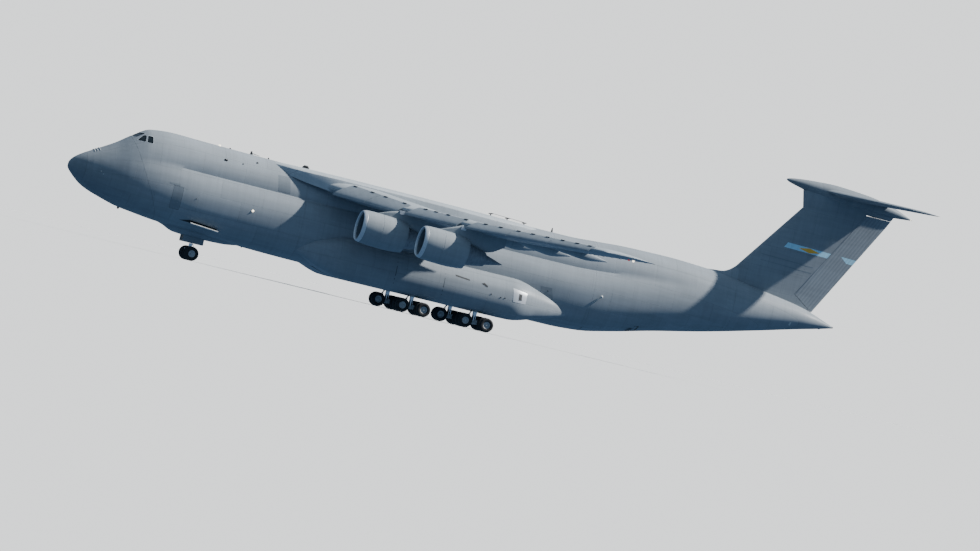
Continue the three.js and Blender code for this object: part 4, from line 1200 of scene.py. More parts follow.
@dataclass
class Surface:
    """A wing, fin or tailplane, read on straight lines between the rows of a table."""

    rows: Array
    camber: float = 0.0
    upright: bool = False
    steps: int = 26

    def row(self, span: Array) -> Array:
        """Lead, chord, height, thickness and twist at some spans; height is the span itself on a fin."""
        return np.stack([np.interp(span, self.rows[:, 0], column) for column in self.rows.T[1:]], axis=1)

    def half(self, share: Array, thickness: Array) -> Array:
        """Half the thickness at a share of the chord: the usual four-digit section's root and powers.

        Args:
            share: how far back, as a share of the chord.
            thickness: the section's thickness as a share of the chord.

        Returns:
            Half the thickness as a share of the chord.
        """
        form = 0.2969 * np.sqrt(share) - 0.126 * share - 0.3516 * share ** 2
        form = form + 0.2843 * share ** 3 - 0.1015 * share ** 4
        return 5 * thickness * form + 0.0015 * share

    def put(self, span: Array, aft: Array, up: Array, row: Array) -> Array:
        """Places of a section's points, turned by the twist and set behind the leading edge.

        Args:
            span: the sections' places along the span.
            aft: shares of the chord.
            up: heights as shares of the chord.
            row: the table's row for each section.

        Returns:
            Points, as sections by points by 3.
        """
        lead, chord, height, _, twist = (row[:, k, None] for k in range(5))
        angle = np.radians(twist)
        along = chord * (aft * np.cos(angle) + up * np.sin(angle))
        high = chord * (up * np.cos(angle) - aft * np.sin(angle))
        if self.upright:
            return place(lead + along, high, span[:, None] + 0 * along)
        return place(lead + along, span[:, None] + 0 * along, height + high)

    def skin(self, span: Array, shrink: Array | float = 1.0) -> Shape:
        """A closed skin: cosine-spaced points go from the trailing edge over the nose and back under.

        Args:
            span: the sections' places along the span.
            shrink: the share of the thickness that is left, for a tip.

        Returns:
            The skin.
        """
        row = self.row(span)
        share = (1 - np.cos(np.linspace(0, math.pi, self.steps))) / 2
        line = self.camber * 4 * share * (1 - share)
        half = self.half(share, row[:, 3, None] * np.broadcast_to(shrink, len(span))[:, None])
        aft = np.concatenate([share[::-1], share[1:]])[None] + 0 * span[:, None]
        up = np.concatenate([(line + half)[:, ::-1], (line - half)[:, 1:]], axis=1)
        return Shape.skin(self.put(span, aft, up, row))

    def thickness(self, span: float, share: float) -> float:
        """The radius of a round nose at a share of the chord, a little under half the thickness there."""
        row = self.row(np.array([span]))[0]
        return 0.97 * float(row[1] * self.half(np.array(share), row[3]))

    def side(self, s: Array, z: Array) -> Array:
        """How far to port the skin of an upright surface lies at some stations and heights.

        Args:
            s: stations.
            z: heights.

        Returns:
            Metres to port, as a flat array.
        """
        row = self.row(np.ravel(z))
        share = np.clip((np.ravel(s) - row[:, 0]) / row[:, 1], 0, 1)
        return row[:, 1] * self.half(share, row[:, 3])

    def point(self, span: float, share: float, up: float = 0.0) -> Triple:
        """A place (s, y, z) on the middle surface, or off it by some half thicknesses.

        Args:
            span: its place along the span.
            share: how far back, as a share of the chord.
            up: how many half thicknesses off.

        Returns:
            The place.
        """
        row = self.row(np.array([span]))
        off = self.camber * 4 * share * (1 - share) + up * float(self.half(np.array(share), row[0, 3]))
        return real(self.put(np.array([span]), np.array([[share]]), np.array([[off]]), row)[0, 0])

    def tip(self, start: float, reach: float) -> tuple[Array, Array]:
        """The spans of a rounded tip, and the share of its thickness that is left at each."""
        turn = np.linspace(0, 1, 7) * math.pi / 2
        return start + reach * np.sin(turn), np.maximum(0.06, np.cos(turn))


def hinge_tools(inner: Sequence[float], outer: Sequence[float], up: Pair, gap: float,
                radii: Sequence[float], fall: float = 0.0,
                ends: Pair | None = None) -> tuple[Shape, Shape]:
    """The spaces of a hinged surface and of its slot.

    Args:
        inner: the hinge's inner end, as a place (s, y, z).
        outer: its outer end.
        up: the direction (y, z) of the surface's thickness.
        gap: the clearance round the nose, and at the ends where those aren't given.
        radii: the radius of the surface's round nose at the inner and at the outer end.
        fall: how far the inner end falls per metre aft.
        ends: the clearances at the inner and at the outer end.

    Returns:
        The surface's space and the slot's space.
    """
    inner, outer = np.array(inner, float), np.array(outer, float)
    length = float(np.linalg.norm(outer - inner))
    along = (outer - inner) / length
    high, reach = 1.2, 6.0

    def block(near: float, far: float, front: float, finish: int) -> Shape:
        """What lies behind a line that is front metres aft of the hinge, between both ends drawn in."""
        rings = []
        for at, slope in ((inner + along * near, fall), (outer - along * far, 0.0)):
            aft, across = np.array([(front, high), (reach, high), (reach, -high), (front, -high)]).T
            rings.append(place(at[0] + aft, at[1] + up[0] * across, at[2] + up[1] * across - slope * aft))
        return loft(rings, finish)

    def space(near: float, far: float, grown: float, finish: int) -> Shape:
        """What lies behind the hinge, with a round nose about it."""
        slope = (radii[1] - radii[0]) / length
        path = [inner - along, outer + along]
        nose = pipe(path, [radii[0] - slope + grown, radii[1] + slope + grown], 40, finish)
        behind, further = (block(near, far, front, finish) for front in (-1.5, 0.0))
        return Solid(nose).within(behind).joined(further).shape()

    near, far = ends or (gap, gap)
    return space(near, far, 0.0, 0), space(0, 0, gap, 1)


@dataclass
class Wings:
    """Wing panels with slats, flaps, ailerons, track fairings and lamps."""

    finishes: Finishes
    gap: float = 0.03
    end_gap: float = 0.07
    hinge_share: float = 0.76
    flap_span: Pair = (3.9, 23.9)
    kink: float = 12.0
    tip_start: float = 33.5
    aileron_span: Pair = (24.4, 32.2)
    slat_spans: tuple = ((4.6, 8.1), (8.15, 11.7), (12.7, 18.4), (19.4, 23.8), (23.85, 28.2), (28.25, 32.6))
    slat_droop: float = 24.0
    slat_top: float = 0.115
    slat_foot: float = 0.05
    slat_thickness: float = 0.011
    slat_edge: float = 0.0006
    slat_forward: float = 0.05
    slat_pivot: float = 0.03
    slat_drop: float = 0.024
    mark_share: float = 0.108
    slat_marks: tuple = (5.0, 7.1, 8.7, 11.0, 13.5, 14.7, 16.1, 18.15, 20.4, 22.1, 24.1, 25.7, 27.3, 29.0,
                         30.6, 32.0)
    tracks: tuple = ((5.6, 0.5, 1.3, 1.0, 0.3), (9.6, 0.48, 1.2, 0.9, 0.28), (15.6, 0.46, 1.1, 0.8, 0.25),
                     (20.4, 0.45, 1.0, 0.75, 0.23))
    outer_track: tuple = (24.15, 0.5, 1.9, 0.6, 0.19)

    def __post_init__(self) -> None:
        """Sets the wing's table: span, lead, chord, height, thickness, twist."""
        self.form = Surface(np.array([
            (0.0, 20.46, 13.85, 9.2, 0.125, 3.5), (12.0, 26.84, 9.05, 8.55, 0.12, 2.5),
            (20.0, 31.09, 7.465, 8.5, 0.116, 1.5), (33.2, 38.11, 4.85, 8.85, 0.11, 0.0),
            (HALF_SPAN, 38.8, 4.2, 8.88, 0.09, 0.0),
        ]), camber=0.012)

    def build(self) -> None:
        """Makes both wings and the fairing over their middle."""
        self.panel()
        self.slats()
        self.fittings()
        self.centre_fairing()

    def whole(self) -> Shape:
        """The wing's form with a rounded tip.

        Returns:
            The port wing.
        """
        tip, thinned = self.form.tip(self.tip_start, HALF_SPAN - self.tip_start)
        span = spread(0, self.tip_start, 60, self.kink, 20.0, 33.2)
        shrink = np.concatenate([np.ones(len(span)), thinned[1:]])
        return self.form.skin(np.concatenate([span, tip[1:]]), shrink=shrink)

    def tools(self, inner: float, outer: float) -> tuple[Shape, Shape, list[Array]]:
        """The hinged surface's space, its slot and the ends of its hinge.

        Args:
            inner: the place of the inner end along the span.
            outer: the place of the outer end.

        Returns:
            Both spaces, and both ends of the hinge.
        """
        ends = [np.array(self.form.point(span, self.hinge_share)) for span in (inner, outer)]
        radii = [self.form.thickness(span, self.hinge_share) for span in (inner, outer)]
        leaf, slot = hinge_tools(*ends, (0, 1), self.gap, radii, ends=(self.end_gap, self.end_gap))
        return leaf, slot, ends

    def panel(self) -> None:
        """The fixed wing, its aileron and its flaps."""
        made = self.finishes
        whole = self.whole()
        leaf, slot, _ = self.tools(*self.aileron_span)
        spaces = [self.tools(self.flap_span[0], self.kink), self.tools(self.kink, self.flap_span[1])]
        fixed = Solid(whole).cut(slot, *(tools[1] for tools in spaces)).shape()
        make_pair("wing_skin", fixed, [made.wing, made.wing], "wing")
        make_pair("aileron_skin", Solid(whole).within(leaf).shape(), [made.wing], "aileron", moves=True)
        flaps = [self.track(*track) for track in self.tracks]
        for _, _, (a, b) in spaces:
            aft, high = np.array([(0, 1.2), (6, 1.2), (6, -1.2), (0, -1.2)]).T
            ends = [mix(a, b, share) for share in (0.001, 0.999)]
            space = loft([place(at[0] + aft, at[1], at[2] + high) for at in ends])
            flaps.append(Solid(whole).within(space).shape())
        make_pair("flaps_skin", total(flaps), [made.wing], "flaps")
        make_pair("outer_track_fairing", self.track(*self.outer_track), [made.wing])

    def track(self, y: float, start: float, reach: float, drop: float, half: float) -> Shape:
        """A pointed fairing under the trailing edge, whose rounded sections swell and run out to a tip.

        Args:
            y: its place along the span.
            start: the share of the chord where it begins.
            reach: how far its tip lies behind the trailing edge.
            drop: about its height.
            half: half its width.

        Returns:
            The fairing to port.
        """
        s1, _, z1 = self.form.point(y, start, -0.6)
        s2, _, z2 = self.form.point(y, 1.0)
        low = self.form.point(y, mix(start, 1.0, 0.4), -1.0)[2]
        t = np.linspace(0, 1, 15)
        angle = circle(20)
        keys = np.array([0, 0.25, 0.6, 1.0])
        rows = np.array([
            # middle, half height, half width
            (z1, 0.05, 0.04), (low + 0.05, 0.55 * drop, half), (z2 - 0.35 * drop, 0.6 * drop, 0.9 * half),
            (z2 - 0.45 * drop, 0.05, 0.03),
        ])
        middle, high, wide = columns(keys, rows, t)
        s = mix(s1, s2 + reach, t[:, None])
        return Shape.skin(place(s, y + wide * np.cos(angle), middle + high * np.sin(angle)))

    def slats(self) -> None:
        """Drooped slats: the wing's nose as a thin crescent, turned down about its front and moved forward.

        Its outside follows the section from slat_top over the nose to slat_foot below; its inside is the
        same line drawn in by a thickness that runs out at both ends.
        """
        t = np.linspace(-1, 1, 30)
        share = np.where(t < 0, self.slat_top, self.slat_foot) * t ** 2
        way = np.where(t < 0, 1.0, -1.0)
        line = self.form.camber * 4 * share * (1 - share)
        thick = self.slat_thickness * np.sqrt(np.clip(1 - t ** 2, 0, 1)) + self.slat_edge
        inside = share + thick * (1 - np.abs(t)) * 1.2
        parts = []
        for ends in self.slat_spans:
            span = spread(*ends, 6, 20.0)
            half = self.form.half(share, self.form.row(span)[:, 3, None])
            aft = np.concatenate([share, inside[::-1]]) + 0 * span[:, None]
            up = np.concatenate([line + way * half, (line + way * (half - thick))[:, ::-1]], axis=1)
            parts.append(Shape.skin(self.drooped(span, aft, up)))
        make_pair("slats", total(parts), [self.finishes.slat], crease=40)
        # painted shade: dark dashes on the slats stand for the shaded track slots
        marks = [pipe([self.mark(span) for span in (y - 0.2, y + 0.2)], 0.052, 8) for y in self.slat_marks]
        make_pair("slat_track_slots", total(marks), [self.finishes.dark])

    def mark(self, y: float) -> Triple:
        """A place (s, y, z) on top of a slat, near its rear edge.

        Args:
            y: its place along the span.

        Returns:
            The place.
        """
        span = np.array([y])
        half = float(self.form.half(np.array(self.mark_share), self.form.row(span)[0, 3]))
        return real(self.drooped(span, np.array([[self.mark_share]]), np.array([[half + 0.006]]))[0, 0])

    def drooped(self, span: Array, aft: Array, up: Array) -> Array:
        """Points of the slats' section, turned down about its front and moved forward.

        Args:
            span: the sections' places along the span.
            aft: shares of the chord.
            up: heights as shares of the chord.

        Returns:
            Points, as sections by points by 3.
        """
        droop = math.radians(self.slat_droop)
        turned = aft * math.cos(droop) + up * math.sin(droop) - self.slat_forward
        raised = up * math.cos(droop) + (aft - self.slat_pivot) * math.sin(droop) - self.slat_drop
        return self.form.put(span, turned, raised, self.form.row(span))

    def fittings(self) -> None:
        """Tip lamps, red to port and green to starboard, and static wicks."""
        made = self.finishes
        lamp = ball(*self.form.point(self.tip_start, 0.55, -1.0), 0.09)
        for (hand, side), glass in zip(HANDS, (made.red, made.green)):
            make(f"tip_lamp_{hand}", lamp.on(side), [glass], slot="glass")
        s, y, z = self.form.point(self.tip_start, 0.64, -1.0)
        make_pair("tip_strobe", ball(s, y, z - 0.05, 0.1), [made.lamp], slot="glass")
        edge = [self.form.point(y, 1.0) for y in np.linspace(25.0, 33.4, 8)]
        wicks = [pipe([(s - 0.02, y, z), (s + 0.3, y, z - 0.02)], 0.012, 6) for s, y, z in edge]
        make_pair("static_wicks", total(wicks), [made.sealant])

    def centre_fairing(self) -> None:
        """The saddle over the wing's middle: arched sections that grow from the crown and sink into it."""
        rows = np.array([
            # s, half, foot, shoulder, crown
            (17.2, 0.9, 9.5, 9.75, 9.98), (18.2, 1.7, 9.3, 9.66, 10.1), (20.4, 2.7, 8.9, 9.6, 10.13),
            (23.5, 3.25, 8.6, 9.62, 10.14), (33.5, 3.2, 8.5, 9.5, 10.06), (38.0, 2.5, 8.9, 9.4, 9.99),
            (40.5, 1.6, 9.2, 9.5, 9.93), (41.8, 0.9, 9.4, 9.6, 9.84),
        ])
        s = spread(17.2, 41.8, 50)
        half, foot, shoulder, crown = columns(rows[:, 0], rows[:, 1:], s)
        t = np.linspace(-1, 1, 41)[None]
        arch = 1 - np.abs(t) ** 2.2
        low = np.clip((np.abs(t) - 0.86) / 0.14, 0, 1)
        up = mix(mix(shoulder, crown, arch ** 0.8), foot, low ** 1.5)
        skin = Shape.skin(place(s[:, None], half * np.sin(t * math.pi / 2), up))
        make("wing_centre_fairing_skin", skin, [self.finishes.saddle], replaces=["wing_centre_fairing"])


@dataclass
class Engine:
    """One engine with its cowl, pylon, core and fan, to port and mirrored to starboard."""

    finishes: Finishes
    wings: Wings
    name: str
    y: float
    lip: float
    height: float
    tilt: float = 2.5
    vanes: int = 20
    vane_s: float = 1.75
    blades: int = 30
    blade_s: float = 1.14
    blade_root: float = 0.38
    blade_tip: float = 1.135
    blade_pitch: Pair = (28.0, 62.0)
    blade_chord: Pair = (0.16, 0.22)
    blade_half: float = 0.012
    blade_bow: float = 0.03

    @property
    def at(self) -> Triple:
        """The middle of the lip's front, as a place (s, y, z)."""
        return self.lip, self.y, self.height

    def build(self) -> None:
        """Makes the pieces of this engine, turned nose up about the middle of the lip."""
        made = self.finishes
        shapes = (self.cowl() + self.duct(), self.core(), self.fan())
        cowl, core, fan = (shape.turned(-self.tilt, place(*self.at), (0, 1, 0)) for shape in shapes)
        name = self.name
        pod = cowl + self.pylon()
        make_pair(f"cowl_{name}", pod, [made.cowl, made.liner, made.lip], f"engine_pod_{name}")
        make_pair(f"core_{name}", core, [made.nickel], f"engine_core_{name}", slot="hot_metal")
        make_pair(f"fan_blades_{name}", fan, [made.titanium, made.gear], f"fan_{name}", True, slot="blade",
                  crease=50)

    def cowl(self) -> Shape:
        """The outer cowl, with its bare lip, steps at its seams and a thin rear edge.

        Returns:
            The shape, to port.
        """
        skin = [
            # distance aft of the lip, radius
            (0.2, 1.17), (0.06, 1.2), (0.0, 1.265), (0.05, 1.32), (0.15, 1.368), (0.3, 1.402), (0.32, 1.392),
            (0.34, 1.407), (0.6, 1.43), (0.9, 1.449), (1.4, 1.458), (1.75, 1.462), (1.765, 1.448),
            (1.785, 1.448), (1.8, 1.461), (2.4, 1.459), (2.75, 1.447), (2.765, 1.433), (2.8, 1.433),
            (2.815, 1.441), (3.3, 1.392), (3.75, 1.33), (4.1, 1.27), (4.1, 1.245), (3.6, 1.25), (2.8, 1.24),
            (1.6, 1.215), (0.6, 1.185),
        ]
        shape = lathe(skin, self.at, sides=64, ring=True)
        faces = np.array(shape.faces)
        x, y, z = ((shape.points - place(*self.at)) / SCALE).T
        behind, radius = -x[faces].mean(axis=1), np.hypot(y, z)[faces].mean(axis=1)
        bare, inside = (behind < 0.33) & (radius > 1.18), (radius < 1.26) & (behind < 4.0)
        shape.finish = np.where(bare, 2, np.where(inside, 1, 0)).tolist()
        return shape

    def duct(self) -> Shape:
        """The guide vanes behind the fan: thin plates that stand round the core.

        Returns:
            The shape, to port.
        """
        vanes = []
        aft, radius, thick = np.meshgrid((-0.18, 0.18), (0.5, 1.2), (-0.012, 0.012), indexing="ij")
        for turn in circle(self.vanes):
            y = self.y + radius * math.cos(turn) - thick * math.sin(turn)
            z = self.height + radius * math.sin(turn) + thick * math.cos(turn)
            corners = place(self.lip + self.vane_s + aft, y, z).reshape(2, 4, 3)
            vanes.append(Shape.skin(corners[:, [0, 1, 3, 2]], finish=1))
        return total(vanes)

    def pylon(self) -> Shape:
        """The pylon: a thin foil between its top and bottom lines, with a small cap over its front.

        Returns:
            The shape, to port.
        """
        lead, rear = (self.wings.form.point(self.y, share) for share in (0.0, 0.5))
        lip, height = self.lip, self.height
        top = np.array([
            (lip + 1.35, height + 1.38), (lip + 2.5, height + 1.8), (lead[0] - 0.15, lead[2] - 0.1),
            (lead[0] + 0.6, lead[2] + 0.12), (lead[0] + 2.0, lead[2] + 0.1), (rear[0] - 0.8, rear[2]),
            (rear[0] - 0.1, rear[2] - 0.1), (rear[0], rear[2] - 0.2),
        ])
        low = np.array([lip, height]) + [
            (1.35, 1.34), (2.1, 1.1), (3.0, 0.7), (3.8, 0.65), (4.7, 0.5), (5.5, 0.33), (6.3, 0.5),
            (7.35, 1.12),
        ]
        half = np.array([0.03, 0.16, 0.21, 0.22, 0.22, 0.2, 0.11, 0.012])[:, None]
        keys, fine = np.linspace(0, 1, 8), np.linspace(0, 1, 36)
        top, low, half = (smooth(keys, values, fine) for values in (top, low, half))
        share = np.linspace(0, 1, 9)[None]
        bulge = half * np.sqrt(np.clip(1 - (2 * share - 1) ** 6, 0, 1))
        s, z = (mix(low[:, k, None], top[:, k, None], share) for k in range(2))
        left, right = (place(s, self.y + side * bulge, z) for side in (1, -1))
        corners = rounded((lip + 3.2, lip + 3.64), (height + 1.74, height + 2.06), 0.06)
        cap = prism(corners, (self.y - 0.27, self.y + 0.27), 2)
        return Shape.skin(np.concatenate([left, right[:, ::-1]], axis=1)) + cap

    def core(self) -> Shape:
        """The gas generator's cowl, nozzle and plug.

        Returns:
            The shape, to port.
        """
        outside = [
            (1.46, 0.02), (1.46, 0.4), (1.8, 0.6), (2.3, 0.8), (2.8, 0.9), (3.3, 0.925), (4.1, 0.9),
            (4.4, 0.865), (4.43, 0.85), (4.46, 0.85), (4.5, 0.857), (5.2, 0.72), (5.83, 0.585),
            (5.85, 0.57), (5.83, 0.555),
            (5.2, 0.64), (4.9, 0.64), (4.9, 0.36),
        ]
        plug = [(4.9, 0.36), (5.4, 0.47), (5.85, 0.46), (6.3, 0.34), (7.0, 0.15), (7.4, 0.04), (7.5, 0.01)]
        return lathe(outside, self.at, sides=48) + lathe(plug, self.at, sides=32)

    def fan(self) -> Shape:
        """Blades on a hub, each a curved plate whose pitch opens towards the tip, and a marked spinner.

        A blade is worked out flat, as aft of its middle and around the hub, and then wrapped at each radius.
        The mark on the spinner is a spiral.

        Returns:
            The shape, to port.
        """
        hub = [(0.4, 0.005), (0.43, 0.06), (0.55, 0.18), (0.72, 0.3), (0.92, 0.4), (1.44, 0.41), (1.44, 0.01)]
        parts = [lathe(hub, self.at, sides=40)]
        radius = np.linspace(self.blade_root, self.blade_tip, 9)[:, None, None]
        across = np.linspace(-1, 1, 7)[None, :, None]
        thick = np.array([-1.0, 1.0])[None, None, :]
        share = (radius - self.blade_root) / (self.blade_tip - self.blade_root)
        pitch, chord = np.radians(mix(*self.blade_pitch, share)), mix(*self.blade_chord, share)
        skin = self.blade_half * np.sqrt(np.clip(1 - across ** 2, 0, 1)) * thick + 0.001 * thick
        bow = self.blade_bow * (1 - across ** 2) + skin
        aft = self.blade_s + across * chord * np.cos(pitch) + bow * np.sin(pitch)
        around = across * chord * np.sin(pitch) - bow * np.cos(pitch)
        for start in circle(self.blades):
            turn = start + around / radius
            grid = place(self.lip + aft, self.y + radius * np.cos(turn), self.height + radius * np.sin(turn))
            parts.append(Shape.skin(np.concatenate([grid[:, :, 0], grid[:, ::-1, 1]], axis=1)))
        mark = np.linspace(0, 1, 26)
        aft, radius, turn = mix(0.47, 0.86, mark) - 0.012, mix(0.1, 0.375, mark), mark * 7
        path = np.stack([aft, radius * np.cos(turn), radius * np.sin(turn)], axis=1) + self.at
        parts.append(pipe(path, np.minimum(0.022, 0.004 + 0.05 * mark), 6, finish=1))
        return total(parts)


@dataclass
class Tail:
    """Fin, rudder, tailplane with its bullet, and elevators."""

    finishes: Finishes
    rudder_low: Triple = (66.3, 0, 9.64)
    rudder_high: Triple = (71.15, 0, 18.0)
    elevator_span: Pair = (1.0, 10.1)
    rudder_fall: float = 0.65
    elevator_share: float = 0.72
    gap: float = 0.03
    top_gap: float = 0.12
    tip_start: float = 10.3
    tip_reach: float = 0.17

    def __post_init__(self) -> None:
        """Sets the tables: span, lead, chord, height, thickness, twist."""
        self.fin = Surface(np.array([
            (8.2, 58.5, 9.55, 0, 0.11, 0), (17.3, 65.2, 7.9, 0, 0.12, 0), (18.8, 64.85, 9.0, 0, 0.105, 0),
        ]), upright=True)
        self.plane = Surface(np.array([(0.0, 66.5, 6.2, 19.15, 0.1, 0), (10.47, 71.7, 2.6, 19.1, 0.09, 0)]))

    def bullet(self) -> Shape:
        """The fairing where fin and tailplane meet: round sections about a line that falls aft.

        Returns:
            The fairing.
        """
        rows = np.array([
            # s, height, radius
            (63.15, 19.36, 0.01), (64.2, 19.3, 0.33), (65.8, 19.2, 0.57), (68.0, 19.1, 0.74),
            (71.0, 18.95, 0.68), (73.5, 18.7, 0.42), (LENGTH, 18.46, 0.02),
        ])
        keys = np.sqrt(rows[:, 0] - rows[0, 0])
        at = np.linspace(0, keys[-1], 60)
        height, radius = columns(keys, rows[:, 1:], at)
        angle = circle(40)
        s = (rows[0, 0] + at ** 2)[:, None]
        return Shape.skin(place(s, radius * np.cos(angle), height + radius * np.sin(angle)))

    def build(self) -> None:
        """Makes the tail's pieces."""
        made = self.finishes
        self.upright()
        self.level()
        make("tail_lamp", ball(LENGTH - 0.14, 0, 18.48, 0.06), [made.lamp], slot="glass")
        strip = [(62.35, 0.0), (67.3, -0.14), (67.3, -0.21), (62.35, -0.07)]
        strips = [plate(self.fin.side, [(s, top + z) for s, z in strip], 0.008) for top in (12.5, 11.98)]
        make("formation_light_strips", both(total(strips)), [made.patch], slot="glass")

    def upright(self) -> None:
        """The fin with its fillet, the rudder, and the web over the rudder's top gap.

        The rudder's round nose is as thick as the fin at its hinge; where the fin is thicker between the
        hinge's ends than a straight cone, the cone is made that much thicker.
        """
        made = self.finishes
        whole = self.fin.skin(spread(8.2, 18.8, 30, 17.3))
        low, high = np.array(self.rudder_low), np.array(self.rudder_high)
        share = np.linspace(0, 1, 17)
        line = mix(low, high, share[:, None])
        half = self.fin.side(line[:, 0], line[:, 2])
        more = float(np.max(half - mix(half[0], half[-1], share)))
        radii = [0.97 * float(end) + more for end in (half[0], half[-1])]
        ends = (self.gap, self.top_gap)
        leaf, slot = hinge_tools(low, high, (1, 0), self.gap, radii, self.rudder_fall, ends)
        edge = [(-0.6, 0.04), (2.25, 0.04), (2.25, -0.085), (0.5, -0.085), (0.1, -0.05), (-0.6, -0.05)]
        make("fin_skin", Solid(whole).cut(slot), [made.fin, made.fin], replaces=["fin"])
        make("rudder_top_seal", prism(high[[0, 2]] + edge, (-0.03, 0.03)), [made.side])
        make("fin_fillet", self.fillet(), [made.side])
        make("rudder_skin", Solid(whole).within(leaf), [made.rudder], "rudder", ["rudder"])

    def level(self) -> None:
        """The tailplane with its bullet and rounded tips, and the elevators."""
        made = self.finishes
        whole = self.plane.skin(spread(0, self.tip_start, 24, self.elevator_span[0]))
        ends = [self.plane.point(y, self.elevator_share) for y in self.elevator_span]
        radii = [self.plane.thickness(y, self.elevator_share) for y in self.elevator_span]
        leaf, slot = hinge_tools(*ends, (0, 1), self.gap, radii)
        span, shrink = self.plane.tip(self.tip_start, self.tip_reach)
        half = Solid(whole).cut(slot).shape() + self.plane.skin(span, shrink=shrink)
        make_pair("elevator_skin", Solid(whole).within(leaf).shape(), [made.tail], "elevator", True)
        make("tailplane_skin", self.bullet() + both(half), [made.tail, made.tail], replaces=["tailplane"])

    def fillet(self) -> Shape:
        """The low ramp from the crown into the fin's leading edge: arched sections of a narrow wedge.

        Returns:
            The fillet.
        """
        rows = np.array([
            # s, top, half
            (57.5, 9.98, 0.03), (58.3, 10.08, 0.16), (59.4, 10.18, 0.24), (59.96, 10.44, 0.24),
            (60.5, 10.9, 0.22), (61.2, 11.5, 0.15), (61.7, 11.7, 0.06),
        ])
        s = spread(57.5, 61.7, 28)
        top, half = columns(rows[:, 0], rows[:, 1:], s)
        angle = np.linspace(0, math.pi, 13)[None]
        foot = 9.3
        across = half * np.cos(angle) * (1 + 1.5 * (1 - np.sin(angle) ** 0.5))
        return Shape.skin(place(s[:, None], across, foot + (top - foot) * np.sin(angle) ** 0.35))


